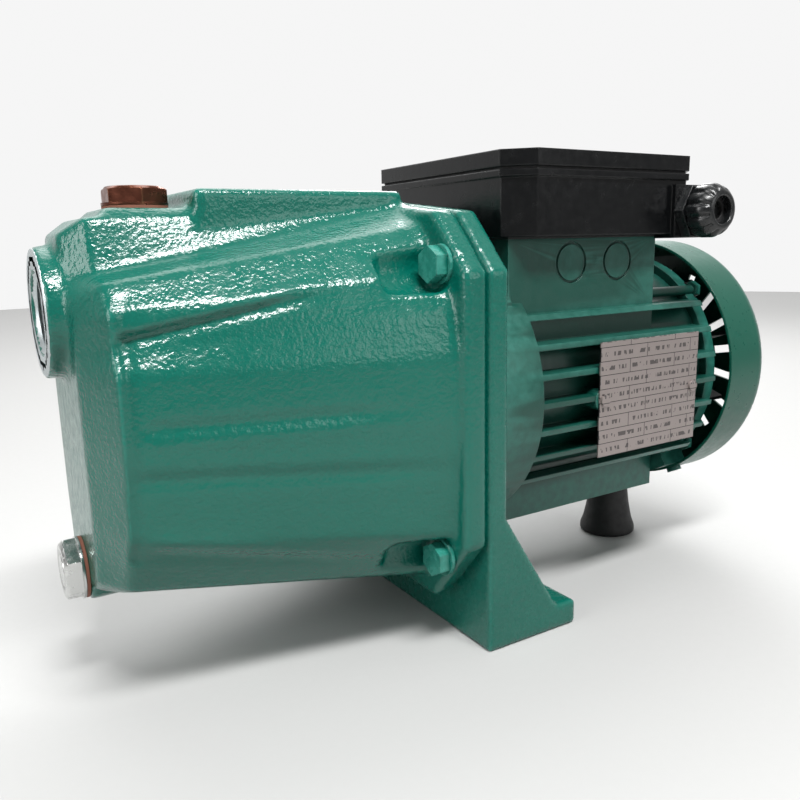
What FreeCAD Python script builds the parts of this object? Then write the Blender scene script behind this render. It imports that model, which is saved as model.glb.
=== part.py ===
import FreeCAD, Part
import math
import os
import re
import Sketcher

# A shallow well jet pump: a cast iron self-priming pump head with a built-in ejector,
# close-coupled to a small single-phase motor.
#
# Frame: +X runs along the shaft from the pump head to the motor, +Z is up, and the origin
# is on the base plane, midway between the two holes of the cast foot.

doc = FreeCAD.newDocument("jet_pump")

# Driving dimensions, in millimetres unless a comment says otherwise.
DIMENSIONS = [
    # datum and foot
    ("shaft_height", 104),
    ("bolt_setback", 30),
    ("foot_length", 50.3),
    ("foot_thickness", 11.4),
    ("foot_bolt_spacing", 118),
    ("foot_hole_radius", 4.5),
    ("gusset_thickness", 7),
    ("gusset_run", 29.2),
    ("gusset_rise", 47.4),
    # outline shared by the bracket plate and the casing flange, measured from the shaft
    ("flange_half_width", 76),
    ("flange_crown", 89),
    ("flange_shoulder", 59),
    ("flange_corner_width", 22),
    ("flange_corner_height", 24),
    ("flange_sole", 84),
    ("flange_hip", 54),
    ("flange_hip_width", 25),
    # motor bracket
    ("plate_thickness", 9.4),
    ("land_height", 1.2),
    ("land_inset", 3),
    ("front_spigot_length", 4.8),
    ("rear_spigot_length", 8),
    ("rear_spigot_wall", 6),
    ("bracket_hub_radius", 24),
    ("hub_rib_thickness", 5),
    ("drip_slot_width", 12),
    ("drip_slot_length", 6),
    # pump casing
    ("casing_length", 147),
    ("nose_depth", 9),
    ("nose_half_width", 28),
    ("nose_top", 76),
    ("nose_bottom", 58),
    ("front_half_width", 54),
    ("front_top", 82),
    ("front_bottom", 60),
    ("rear_half_width", 73),
    ("rear_top", 88),
    ("rear_bottom", 83.5),
    ("casing_wall", 6),
    ("casing_rear_wall", 10.5),
    ("casing_flange_thickness", 11),
    ("casing_bore_radius", 64),
    ("casing_bore_depth", 29),
    ("bolt_pocket_radius", 11),
    ("bolt_pocket_depth", 26),
    ("pad_root_level", 45),
    ("delivery_pad_half_width", 25),
    ("delivery_pad_start", 8),
    ("delivery_pad_end", 99),
    ("delivery_pad_height", 92.5),
    ("delivery_port_setback", 56),
    ("filler_pad_end", 131),
    ("filler_pad_half_width", 19),
    ("filler_pad_height", 85.5),
    ("filler_setback", 115),
    ("suction_height", 47.8),
    ("suction_boss_radius", 24.6),
    ("suction_boss_reach", 7),
    ("port_thread_radius", 15.15),
    ("port_thread_depth", 20),
    ("port_passage_radius", 14),
    ("drain_drop", 54.5),
    ("drain_boss_radius", 13.5),
    ("drain_boss_reach", 0.4),
    ("plug_thread_radius", 8.3),
    ("plug_thread_length", 11),
    ("plug_head_across_flats", 22),
    ("plug_head_height", 6.2),
    ("plug_collar_radius", 12.6),
    ("plug_collar_thickness", 1.2),
    ("plug_washer_radius", 12.4),
    ("plug_washer_thickness", 1.2),
    ("partition_setback", 112),
    ("partition_thickness", 5),
    ("feed_boss_radius", 15),
    ("feed_boss_end", 124),
    ("feed_duct_half_width", 10),
    ("feed_duct_drop", 48),
    ("feed_bore_radius", 6),
    ("feed_duct_level", 37),
    # casing fasteners
    ("casing_bolt_offset_y", 60),
    ("casing_bolt_offset_z", 62),
    ("casing_bolt_radius", 4),
    ("casing_bolt_across_flats", 13),
    ("casing_bolt_head_height", 5.3),
    ("casing_washer_radius", 8),
    ("casing_washer_thickness", 1.6),
    ("o_ring_section_radius", 1.45),
    ("o_ring_groove_depth", 3),
    ("o_ring_groove_width", 3.2),
    # hydraulics
    ("impeller_radius", 54),
    ("impeller_back", 9),
    ("impeller_width", 11),
    ("impeller_disc_thickness", 2.5),
    ("impeller_eye_radius", 16),
    ("impeller_eye_ring", 3),
    ("impeller_eye_length", 6),
    ("impeller_hub_radius", 11),
    ("impeller_vane_thickness", 2.4),
    ("impeller_vane_curve", 42),
    ("diffuser_disc_radius", 57.5),
    ("diffuser_thickness", 3.5),
    ("diffuser_vane_width", 4),
    ("diffuser_neck_radius", 21),
    ("diffuser_neck_length", 14),
    ("wear_clearance", 0.3),
    ("venturi_radius", 16),
    ("venturi_throat_radius", 6.5),
    ("venturi_inlet_radius", 11),
    ("venturi_wall", 2.6),
    ("nozzle_shank_radius", 8),
    ("nozzle_shank_length", 10),
    ("nozzle_tip_radius", 6),
    ("nozzle_jet_radius", 3.4),
    ("nozzle_length", 30),
    # shaft, bearings and seal
    ("stub_radius", 5),
    ("impeller_seat_radius", 6),
    ("seal_seat_radius", 7),
    ("bearing_bore_radius", 7.5),
    ("bearing_outer_radius", 17.5),
    ("bearing_width", 11),
    ("bearing_pitch_radius", 12.5),
    ("bearing_ball_radius", 2.98),
    ("bearing_ring_wall", 3.1),
    ("bearing_cage_half_width", 4),
    ("bearing_cage_wall", 1.2),
    ("rotor_shaft_radius", 10),
    ("fan_seat_radius", 6),
    ("front_bearing_start", 28),
    ("frame_length", 146.6),
    ("frame_end", "=plate_thickness + frame_length"),
    ("rear_bearing_inset", 15),
    ("rear_bearing_start", "=frame_end - rear_bearing_inset"),
    ("shaft_front_end", 29),
    ("shaft_tail", 33),
    ("shaft_rear_end", "=frame_end + shaft_tail"),
    ("impeller_nut_across_flats", 17),
    ("impeller_nut_height", 7),
    ("key_width", 4),
    ("key_height", 4),
    ("key_length", 8),
    ("seal_chamber_radius", 16),
    ("seal_seat_recess_radius", 13),
    ("seal_seat_thickness", 6),
    ("seal_seat_start", 8),
    ("seal_head_radius", 12),
    ("seal_head_length", 8),
    ("bellows_crest_radius", 11),
    ("bellows_root_radius", 9),
    ("bellows_wall", 0.8),
    ("bellows_gap", 0.5),
    ("slinger_radius", 13.5),
    ("slinger_thickness", 3),
    ("slinger_start", 21),
    # motor
    ("frame_bore_radius", 51),
    ("frame_wall", 5),
    ("frame_ring_radius", 66),
    ("frame_ring_length", 28.6),
    ("fin_pitch", 12.8),
    ("fin_offset", -2),
    ("fin_thickness", 2.6),
    ("fin_radius", 66),
    ("tie_bolt_circle", 60),
    ("tie_bolt_radius", 2.5),
    ("tie_lug_radius", 8.5),
    ("tie_lug_length", 22),
    ("tie_channel_radius", 5),
    ("tie_head_across_flats", 8),
    ("tie_head_height", 3.5),
    ("rail_half_width", 27),
    ("rail_bottom", 35),
    ("rail_inset", 0.6),
    ("rail_length", "=frame_length - rail_inset"),
    ("foot_pad_half_width", 16),
    ("pedestal_start", 30),
    ("pedestal_length", 94),
    ("pedestal_half_width", 50),
    ("pedestal_wall", 6),
    ("pedestal_depth", 14),
    ("knockout_radius", 9.5),
    ("knockout_depth", 0.9),
    ("knockout_ring", 1.2),
    ("lead_hole_radius", 9),
    ("stator_start", 58),
    ("stator_length", 64),
    ("air_gap", 0.35),
    ("rotor_radius", 30),
    ("slot_inner_radius", 33),
    ("slot_outer_radius", 44),
    ("slot_width", 4.4),
    ("winding_end_length", 15),
    ("winding_outer_radius", 46),
    ("end_ring_length", 8),
    ("end_ring_outer_radius", 29),
    ("end_ring_inner_radius", 19),
    ("shield_thickness", 7),
    ("shield_radius", 60),
    ("shield_hub_radius", 23),
    ("shield_lug_half_width", 6),
    ("shield_lug_root", 56.5),
    ("fan_gap", 12),
    ("fan_start", "=frame_end + fan_gap"),
    ("fan_disc_radius", 54),
    ("fan_disc_thickness", 2),
    ("fan_hub_radius", 12),
    ("fan_hub_length", 16),
    ("fan_blade_width", 17),
    ("fan_blade_thickness", 2),
    ("cover_gap", 9.6),
    ("cover_start", "=frame_end + cover_gap"),
    ("cover_length", 31.9),
    ("cover_radius", 68.5),
    ("cover_wall", 1.4),
    ("cover_corner_radius", 9),
    ("cover_slot_width", 4.2),
    ("cover_screw_radius", 2),
    ("cover_screw_head_radius", 4),
    ("cover_screw_head_height", 2.2),
    ("wave_spring_thickness", 1),
    # rubber foot and nameplate
    ("rubber_foot_inset", 5.3),
    ("rubber_foot_setback", "=frame_end - rubber_foot_inset"),
    ("rubber_foot_radius", 16),
    ("rubber_foot_top_radius", 10.5),
    ("rubber_foot_rim", 3),
    ("foot_screw_radius", 3),
    ("foot_screw_head_radius", 6.5),
    ("foot_screw_head_height", 3),
    ("foot_screw_recess", 6),
    ("nameplate_start", 71),
    ("nameplate_length", 68),
    ("nameplate_height", 54.5),
    ("nameplate_level", -3.3),
    ("nameplate_thickness", 0.8),
    ("nameplate_reach", 67.1),
    ("rivet_radius", 1.4),
    ("rivet_head_radius", 2.7),
    ("rivet_head_height", 1.1),
    ("rivet_boss_radius", 5),
    ("rivet_inset", 3.2),
    # terminal box
    ("box_start", 25.4),
    ("box_length", 119.4),
    ("box_half_width", 61),
    ("box_floor_level", 72),
    ("box_height", 36.5),
    ("box_corner", 11.6),
    ("box_wall", 2.6),
    ("box_floor", 3),
    ("box_gasket", 1),
    ("lid_thickness", 7),
    ("lid_wall", 2.4),
    ("lid_overhang", 1.2),
    ("lid_gasket", 1.2),
    ("lid_boss_radius", 5),
    ("lid_boss_inset_x", 27),
    ("lid_boss_inset_y", 8),
    ("lid_screw_radius", 2),
    ("lid_screw_head_radius", 3.8),
    ("lid_screw_head_height", 2.4),
    ("base_screw_radius", 2.5),
    ("base_screw_head_radius", 4.4),
    ("base_screw_head_height", 3),
    ("base_screw_spacing_x", 82),
    ("base_screw_spacing_y", 84),
    ("block_length", 46),
    ("block_width", 22),
    ("block_offset", 28),
    ("block_height", 13),
    ("block_screw_radius", 2),
    ("block_screw_pitch", 9),
    ("capacitor_radius", 13.5),
    ("capacitor_length", 58),
    ("capacitor_strap", 1.2),
    ("strap_width", 10),
    # cable gland
    ("gland_setback", 135.2),
    ("gland_level", 82.5),
    ("gland_thread_radius", 9.9),
    ("gland_flats", 24),
    ("gland_flange_thickness", 5),
    ("gland_barrel_radius", 9.4),
    ("gland_barrel_length", 8),
    ("gland_nut_radius", 12.6),
    ("gland_nut_length", 12),
    ("gland_bore_radius", 6.4),
    ("gland_seal_radius", 4.75),
    ("gland_pad_half_width", 12.5),
    ("gland_pad_depth", 12),
    ("gland_shank_length", 11),
    ("gland_pad_reach", 1.5),
    # clearances
    ("fit", 0.05),
    ("screw_clearance", 0.4),
    ("running_gap", 0.06),
]

sheet = doc.addObject("Spreadsheet::Sheet", "dims")
for row, (alias, value) in enumerate(DIMENSIONS, start=1):
    sheet.set("A%d" % row, alias)
    sheet.set("B%d" % row, str(value))
    sheet.setAlias("B%d" % row, alias)
doc.recompute()

BALLS = 8
BELLOWS_FOLDS = 4
STATOR_SLOTS = 24
IMPELLER_VANES = 6
DIFFUSER_VANES = 11
FAN_BLADES = 9
FINS_PER_SIDE = 7
# inner radius, outer radius and number of the two rings of slots in the fan cover
COVER_SLOT_ROWS = ((14, 28, 9), (35, 51, 18))
COVER_SCREW_ANGLES = (90, -30, -118)
COVER_SCREW_STATION = "cover_start + 3.6"
CORNERS = [(1, 1), (1, -1), (-1, -1), (-1, 1)]

VECTOR = FreeCAD.Vector
ALONG = {
    "X": FreeCAD.Rotation(VECTOR(0, 1, 0), 90),
    "Y": FreeCAD.Rotation(VECTOR(1, 0, 0), -90),
    "Z": FreeCAD.Rotation(),
}
ACROSS_X = FreeCAD.Rotation(VECTOR(1, 1, 1), 120)

subparts = []


def size(alias):
    """Value of a dimension from the sheet, in millimetres."""
    return float(sheet.get(alias))


def dim(text):
    """Turn an expression written with bare aliases into one that reads the sheet."""
    return re.sub(r"([a-z_]+)", r"dims.\1", str(text))


def bind(obj, **expressions):
    for name, expression in expressions.items():
        obj.setExpression(name, dim(expression))


def place(obj, at, rotation=FreeCAD.Rotation()):
    """Put an object at three expressions, turned by a fixed rotation."""
    obj.Placement = FreeCAD.Placement(VECTOR(), rotation)
    for letter, expression in zip("xyz", at):
        obj.setExpression("Placement.Base." + letter, dim(expression))
    return obj


def station(setback):
    """Expression of the X place at a distance behind the front face of the bracket plate."""
    return "( %s ) - bolt_setback" % setback


def level(height="0"):
    """Expression of the Z place at a height above the shaft axis."""
    return "shaft_height + ( %s )" % height


def block(label, low, extent):
    obj = doc.addObject("Part::Box", label)
    bind(obj, Length=extent[0], Width=extent[1], Height=extent[2])
    return place(obj, low)


def rod(label, axis, start, radius, length):
    """A cylinder from a start point along +X, +Y or +Z."""
    obj = doc.addObject("Part::Cylinder", label)
    bind(obj, Radius=radius, Height=length)
    return place(obj, start, ALONG[axis])


def hexagon(label, axis, start, across_flats, height):
    obj = doc.addObject("Part::Prism", label)
    obj.Polygon = 6
    bind(obj, Circumradius="( %s ) / 1.7320508" % across_flats, Height=height)
    return place(obj, start, ALONG[axis])


def fuse(label, shapes):
    obj = doc.addObject("Part::MultiFuse", label)
    obj.Shapes = shapes
    obj.Refine = True
    return obj


def cut(label, base, tools):
    """Take one or several tools away from a base."""
    tool = tools[0] if len(tools) == 1 else fuse(label + "_tools", tools)
    obj = doc.addObject("Part::Cut", label)
    obj.Base = base
    obj.Tool = tool
    return obj


def common(label, first, second):
    obj = doc.addObject("Part::MultiCommon", label)
    obj.Shapes = [first, second]
    return obj


def group(label, shapes):
    obj = doc.addObject("Part::Compound", label)
    obj.Links = shapes
    return obj


def subpart(label, obj):
    """Name the finished object of one piece, which is written to a file of that name."""
    if obj.Label != label:
        obj.Label = label
    subparts.append(obj)
    return obj


def draw(sketch, points):
    """Close a polygon in a sketch, with each corner held by two bound distances."""
    count = len(points)
    corners = []
    for index in range(count):
        angle = 2 * math.pi * index / count
        corners.append(VECTOR(50 * math.cos(angle), 50 * math.sin(angle), 0))
    for index in range(count):
        sketch.addGeometry(Part.LineSegment(corners[index], corners[(index + 1) % count]), False)
    for index in range(count):
        sketch.addConstraint(Sketcher.Constraint("Coincident", index, 2, (index + 1) % count, 1))
    for index, point in enumerate(points):
        for kind, start, expression in zip(("DistanceX", "DistanceY"), corners[index], point):
            held = sketch.addConstraint(Sketcher.Constraint(kind, -1, 1, index, 1, start))
            sketch.setExpression("Constraints[%d]" % held, dim(expression))
    return sketch


def ring(sketch, radius):
    """A circle about the sketch's origin with a bound radius."""
    index = sketch.addGeometry(Part.Circle(VECTOR(), VECTOR(0, 0, 1), 20), False)
    sketch.addConstraint(Sketcher.Constraint("Coincident", index, 3, -1, 1))
    held = sketch.addConstraint(Sketcher.Constraint("Radius", index, 20))
    sketch.setExpression("Constraints[%d]" % held, dim(radius))
    return sketch


def new_body(label, at):
    body = doc.addObject("PartDesign::Body", label)
    return place(body, at)


def sketch_on(body, role, offset="0", tag="sketch"):
    """A sketch on one of the body's own origin planes, moved along its normal."""
    sketch = body.newObject("Sketcher::SketchObject", body.Name + "_" + tag)
    plane = [item for item in body.Origin.OriginFeatures if item.Role == role][0]
    sketch.AttachmentSupport = (plane, [""])
    sketch.MapMode = "FlatFace"
    sketch.setExpression("AttachmentOffset.Base.z", dim(offset))
    return sketch


def turned(label, axis, at, profile):
    """A lathe piece: a closed profile of (along, radius) corners spun about X, Y or Z."""
    body = new_body(label, at)
    sketch = sketch_on(body, "XY_Plane" if axis == "Y" else "XZ_Plane")
    if axis == "X":
        draw(sketch, profile)
    else:
        draw(sketch, [(radius, along) for along, radius in profile])
    spin = body.newObject("PartDesign::Revolution", label + "_spin")
    spin.Profile = sketch
    spin.ReferenceAxis = (sketch, ["H_Axis" if axis == "X" else "V_Axis"])
    spin.Angle = 360
    return body


def prism(label, axis, at, outline, length):
    """A straight piece: an outline across X, Y or Z, pushed from `at` along that axis."""
    body = new_body(label, at)
    role = {"X": "YZ_Plane", "Y": "XZ_Plane", "Z": "XY_Plane"}[axis]
    sketch = draw(sketch_on(body, role), outline)
    push = body.newObject("PartDesign::Pad", label + "_pad")
    push.Profile = sketch
    push.Reversed = axis == "Y"
    bind(push, Length=length)
    return body


def tube(label, axis, start, outer, inner, length):
    """A plain ring between two radii."""
    return turned(label, axis, start, [("0", inner), ("0", outer), (length, outer), (length, inner)])


def radial_rod(label, angle, setback, start, radius, length):
    """A cylinder pointing away from the shaft axis, at an angle in degrees from +Y."""
    away = math.radians(angle)
    obj = doc.addObject("Part::Cylinder", label)
    bind(obj, Radius=radius, Height=length)
    return place(obj, (station(setback), "%.6f * ( %s )" % (math.cos(away), start),
                       level("%.6f * ( %s )" % (math.sin(away), start))),
                 FreeCAD.Rotation(VECTOR(1, 0, 0), angle - 90))


def spoke(label, angle, setback, start, width, depth, length):
    """A box pointing away from the shaft axis: `depth` along X and `length` outward."""
    away = math.radians(angle)
    obj = doc.addObject("Part::Box", label)
    bind(obj, Length=depth, Width=length, Height=width)
    y = "%.6f * ( %s ) + %.6f * ( %s )" % (math.cos(away), start, 0.5 * math.sin(away), width)
    z = "%.6f * ( %s ) - %.6f * ( %s )" % (math.sin(away), start, 0.5 * math.cos(away), width)
    return place(obj, (station(setback), y, level(z)), FreeCAD.Rotation(VECTOR(1, 0, 0), angle))


def mirrored_outline(half):
    """Close an outline from its +Y half, listed from the top down."""
    return list(half) + [("-( %s )" % y, z) for y, z in reversed(half) if y != "0"]


def flange_outline(inset="0"):
    """Corner-cut outline of the pump's joint face, about the shaft axis."""
    side = "flange_half_width - %s" % inset
    return mirrored_outline([
        ("0", "flange_crown - %s" % inset),
        ("flange_half_width - flange_corner_width - 0.5 * %s" % inset,
         "flange_shoulder + flange_corner_height - %s" % inset),
        (side, "flange_shoulder - 0.5 * %s" % inset),
        (side, "-flange_hip + 0.5 * %s" % inset),
        ("flange_half_width - flange_hip_width - 0.5 * %s" % inset, "-flange_sole + %s" % inset),
    ])


# ---------------------------------------------------------------- pump casing

# Half sections of the casing as shares of its half width, and of its top or bottom height:
# crown, neck, shoulder, flank, groove, bulge, crease, lower edge, hip and keel.
NOSE_SECTION = [(0.5, 1.0), (0.71, 0.79), (0.96, 0.71), (1.0, 0.6), (1.0, 0.47),
                (1.0, 0.34), (1.0, 0.05), (1.0, -0.5), (0.9, -0.9), (0.64, -1.0)]
FRONT_SECTION = [(0.41, 1.0), (0.54, 0.756), (0.76, 0.72), (0.91, 0.6), (0.89, 0.45),
                 (0.98, 0.354), (1.0, 0.05), (0.945, -0.5), (0.685, -0.9), (0.41, -1.0)]
REAR_SECTION = [(0.27, 1.0), (0.41, 0.966), (0.6, 0.9), (0.85, 0.685), (0.955, 0.517),
                (1.0, 0.29), (1.0, 0.02), (0.945, -0.62), (0.685, -0.905), (0.356, -1.0)]


def casing_section(label, shares, zone, setback, wall="0"):
    """One cross-section of the casing, taken in by a wall thickness."""
    half = []
    for across, height in shares:
        edge = "top" if height > 0 else "bottom"
        inward = "-" if height > 0 else "+"
        half.append(("%s * %s_half_width - %s" % (across, zone, wall),
                     "%s * %s_%s %s %s" % (height, zone, edge, inward, wall)))
    sketch = doc.addObject("Sketcher::SketchObject", label)
    place(sketch, (station(setback), "0", level()), ACROSS_X)
    return draw(sketch, mirrored_outline(half))


def casing_loft(label, depths, walls):
    """Ruled solid through the nose, front and rear sections of the casing."""
    sections = [
        casing_section(label + "_nose", NOSE_SECTION, "nose", depths[0], walls[0]),
        casing_section(label + "_front", FRONT_SECTION, "front", depths[1], walls[1]),
        casing_section(label + "_rear", REAR_SECTION, "rear", depths[2], walls[2]),
    ]
    loft = doc.addObject("Part::Loft", label)
    loft.Sections = sections
    loft.Solid = True
    loft.Ruled = True
    return loft


def bolt_places():
    """Y and Z expressions of the four casing bolts."""
    return [("%d * casing_bolt_offset_y" % side, level("%d * casing_bolt_offset_z" % high))
            for side, high in CORNERS]


def make_casing():
    """Hollow casing with the suction port at the front and the delivery port on top."""
    shell = casing_loft("casing_shell", ("-casing_length", "nose_depth - casing_length", "-land_height"),
                        ("0", "0", "0"))
    flange = prism("casing_flange", "X",
                   (station("-land_height - casing_flange_thickness"), "0", level()),
                   flange_outline(), "casing_flange_thickness")
    pocket_start = station("-land_height - casing_flange_thickness - bolt_pocket_depth")
    pockets = [rod("bolt_pocket_%d" % index, "X", (pocket_start, y, z),
                   "bolt_pocket_radius", "bolt_pocket_depth")
               for index, (y, z) in enumerate(bolt_places())]
    pocketed = cut("casing_pocketed", shell, pockets)
    delivery_pad = block("delivery_pad", (station("-delivery_pad_end"), "-delivery_pad_half_width", level("pad_root_level")),
                         ("delivery_pad_end - delivery_pad_start", "2 * delivery_pad_half_width",
                          "delivery_pad_height - 45"))
    filler_pad = block("filler_pad", (station("-filler_pad_end"), "-filler_pad_half_width", level("pad_root_level")),
                       ("filler_pad_end - delivery_pad_end + 1", "2 * filler_pad_half_width",
                        "filler_pad_height - 45"))
    suction_boss = rod("suction_boss", "X",
                       (station("-casing_length - suction_boss_reach"), "0", level("suction_height")),
                       "suction_boss_radius", "suction_boss_reach + nose_depth + casing_wall")
    drain_boss = rod("drain_boss", "X",
                     (station("-casing_length - drain_boss_reach"), "0", level("-drain_drop")),
                     "drain_boss_radius", "drain_boss_reach + nose_depth + casing_wall")
    outside = fuse("casing_outside", [pocketed, flange, delivery_pad, filler_pad, suction_boss, drain_boss])
    # the inside is kept back from every outer face
    cavity = casing_loft("casing_cavity",
                         ("casing_wall - casing_length", "nose_depth + casing_wall - casing_length",
                          "-land_height - casing_flange_thickness"),
                         ("casing_wall", "casing_wall", "casing_rear_wall"))
    bore = rod("casing_bore", "X", (station("-casing_bore_depth - land_height"), "0", level()),
               "casing_bore_radius", "casing_bore_depth + 1")
    hollow = cut("casing_hollow", outside, [cavity, bore])
    # the partition and the feed duct carry the ejector and close the suction chamber
    partition = block("partition", (station("-partition_setback"), "-front_half_width - 5", level("-front_bottom - 10")),
                      ("partition_thickness", "2 * ( front_half_width + 5 )", "front_bottom + front_top + 12"))
    feed_boss = rod("feed_boss", "X", (station("2 - casing_length"), "0", level()),
                    "feed_boss_radius", "casing_length - 2 - feed_boss_end")
    feed_column = block("feed_column",
                        (station("2 - casing_length"), "-feed_duct_half_width", level("-feed_duct_drop")),
                        ("casing_length - 2 - feed_boss_end", "2 * feed_duct_half_width", "feed_duct_drop"))
    feed_duct = block("feed_duct",
                      (station("2 - casing_length"), "-feed_duct_half_width", level("-feed_duct_drop")),
                      ("casing_length - partition_setback", "2 * feed_duct_half_width",
                       "2 * ( feed_duct_drop - feed_duct_level )"))
    inner_walls = common("inner_walls", fuse("inner_wall_blocks", [partition, feed_boss, feed_column, feed_duct]),
                         shell)
    body = fuse("casing_body", [hollow, inner_walls])
    drills = [
        rod("suction_thread", "X", (station("-casing_length - suction_boss_reach - 1"), "0",
                                    level("suction_height")), "port_thread_radius", "port_thread_depth + 1"),
        rod("suction_passage", "X", (station("-casing_length - suction_boss_reach"), "0",
                                     level("suction_height")), "port_passage_radius",
            "casing_length + suction_boss_reach - partition_setback"),
        rod("delivery_thread", "Z", (station("-delivery_port_setback"), "0",
                                     level("delivery_pad_height - port_thread_depth")),
            "port_thread_radius", "port_thread_depth + 1"),
        rod("delivery_passage", "Z", (station("-delivery_port_setback"), "0", level("40")),
            "port_passage_radius", "delivery_pad_height - 41"),
        rod("filler_hole", "Z", (station("-filler_setback"), "0", level("60")),
            "plug_thread_radius + fit", "filler_pad_height - 59"),
        rod("drain_hole", "X", (station("-casing_length - drain_boss_reach - 1"), "0", level("-drain_drop")),
            "plug_thread_radius + fit", "nose_depth + drain_boss_reach + casing_wall + 6"),
        rod("nozzle_socket", "X", (station("-feed_boss_end - nozzle_shank_length"), "0", level()),
            "nozzle_shank_radius + fit", "nozzle_shank_length + 1"),
        rod("feed_gallery", "X", (station("6 - casing_length"), "0", level()),
            "feed_bore_radius", "casing_length - feed_boss_end - 6"),
        rod("feed_riser", "Z", (station("12.5 - casing_length"), "0", level("-feed_duct_level")),
            "feed_bore_radius", "feed_duct_level"),
        rod("feed_inlet", "X", (station("12.5 - casing_length"), "0", level("-feed_duct_level")),
            "feed_bore_radius", "casing_length - partition_setback"),
        rod("venturi_hole", "X", (station("-partition_setback - 1"), "0", level()),
            "venturi_inlet_radius + venturi_wall + fit", "partition_thickness + 2"),
    ]
    bolt_start = station("-land_height - casing_flange_thickness - 1")
    drills += [rod("casing_bolt_hole_%d" % index, "X", (bolt_start, y, z),
                   "casing_bolt_radius + screw_clearance", "casing_flange_thickness + 2")
               for index, (y, z) in enumerate(bolt_places())]
    subpart("pump_casing", cut("pump_casing", body, drills))


def make_plug(label, axis, at, sign):
    """Hexagon plug with a collar, and the washer under it; `sign` is the way out."""
    flip = "" if sign > 0 else "-"
    head = hexagon(label + "_head", axis, at(flip + "( plug_washer_thickness + plug_collar_thickness )" if sign > 0
                   else "-( plug_washer_thickness + plug_collar_thickness + plug_head_height )"),
                   "plug_head_across_flats", "plug_head_height")
    collar = rod(label + "_collar", axis, at("plug_washer_thickness" if sign > 0
                 else "-( plug_washer_thickness + plug_collar_thickness )"),
                 "plug_collar_radius", "plug_collar_thickness")
    shank = rod(label + "_shank", axis, at("-plug_thread_length" if sign > 0 else "-plug_washer_thickness - 0.5"),
                "plug_thread_radius", "plug_thread_length + plug_washer_thickness + 0.5")
    subpart(label, fuse(label, [head, collar, shank]))
    washer_start = at("0" if sign > 0 else "-plug_washer_thickness")
    subpart(label + "_washer", tube(label + "_washer", axis, washer_start, "plug_washer_radius",
                                    "plug_thread_radius + fit", "plug_washer_thickness"))


def make_plugs():
    make_plug("filler_plug", "Z",
              lambda out: (station("-filler_setback"), "0", level("filler_pad_height + ( %s )" % out)), 1)
    make_plug("drain_plug", "X",
              lambda out: (station("-casing_length - drain_boss_reach + ( %s )" % out), "0",
                           level("-drain_drop")), -1)


def make_casing_fasteners():
    bolts = []
    washers = []
    face = "-land_height - casing_flange_thickness"
    for index, (y, z) in enumerate(bolt_places()):
        head = hexagon("bolt_head_%d" % index, "X",
                       (station(face + " - casing_washer_thickness - casing_bolt_head_height"), y, z),
                       "casing_bolt_across_flats", "casing_bolt_head_height")
        shank = rod("bolt_shank_%d" % index, "X",
                    (station(face + " - casing_washer_thickness - 1"), y, z), "casing_bolt_radius",
                    "casing_washer_thickness + casing_flange_thickness + land_height + plate_thickness + 1")
        bolts.append(fuse("casing_bolt_%d" % index, [head, shank]))
        washers.append(tube("casing_washer_%d" % index, "X",
                            (station(face + " - casing_washer_thickness"), y, z), "casing_washer_radius",
                            "casing_bolt_radius + fit", "casing_washer_thickness"))
    subpart("casing_bolts", group("casing_bolts", bolts))
    subpart("casing_bolt_washers", group("casing_bolt_washers", washers))
    seal = doc.addObject("Part::Torus", "casing_o_ring")
    bind(seal, Radius1="casing_bore_radius - o_ring_section_radius - fit", Radius2="o_ring_section_radius")
    place(seal, (station("-land_height - 0.5 * front_spigot_length"), "0", level()), ALONG["X"])
    subpart("casing_o_ring", seal)


# ---------------------------------------------------------------- motor bracket

def tie_places():
    """Y and Z expressions of the four motor tie bolts, on the diagonals."""
    return [("%d * tie_bolt_circle * 0.70711" % side, level("%d * tie_bolt_circle * 0.70711" % high))
            for side, high in CORNERS]


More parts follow.
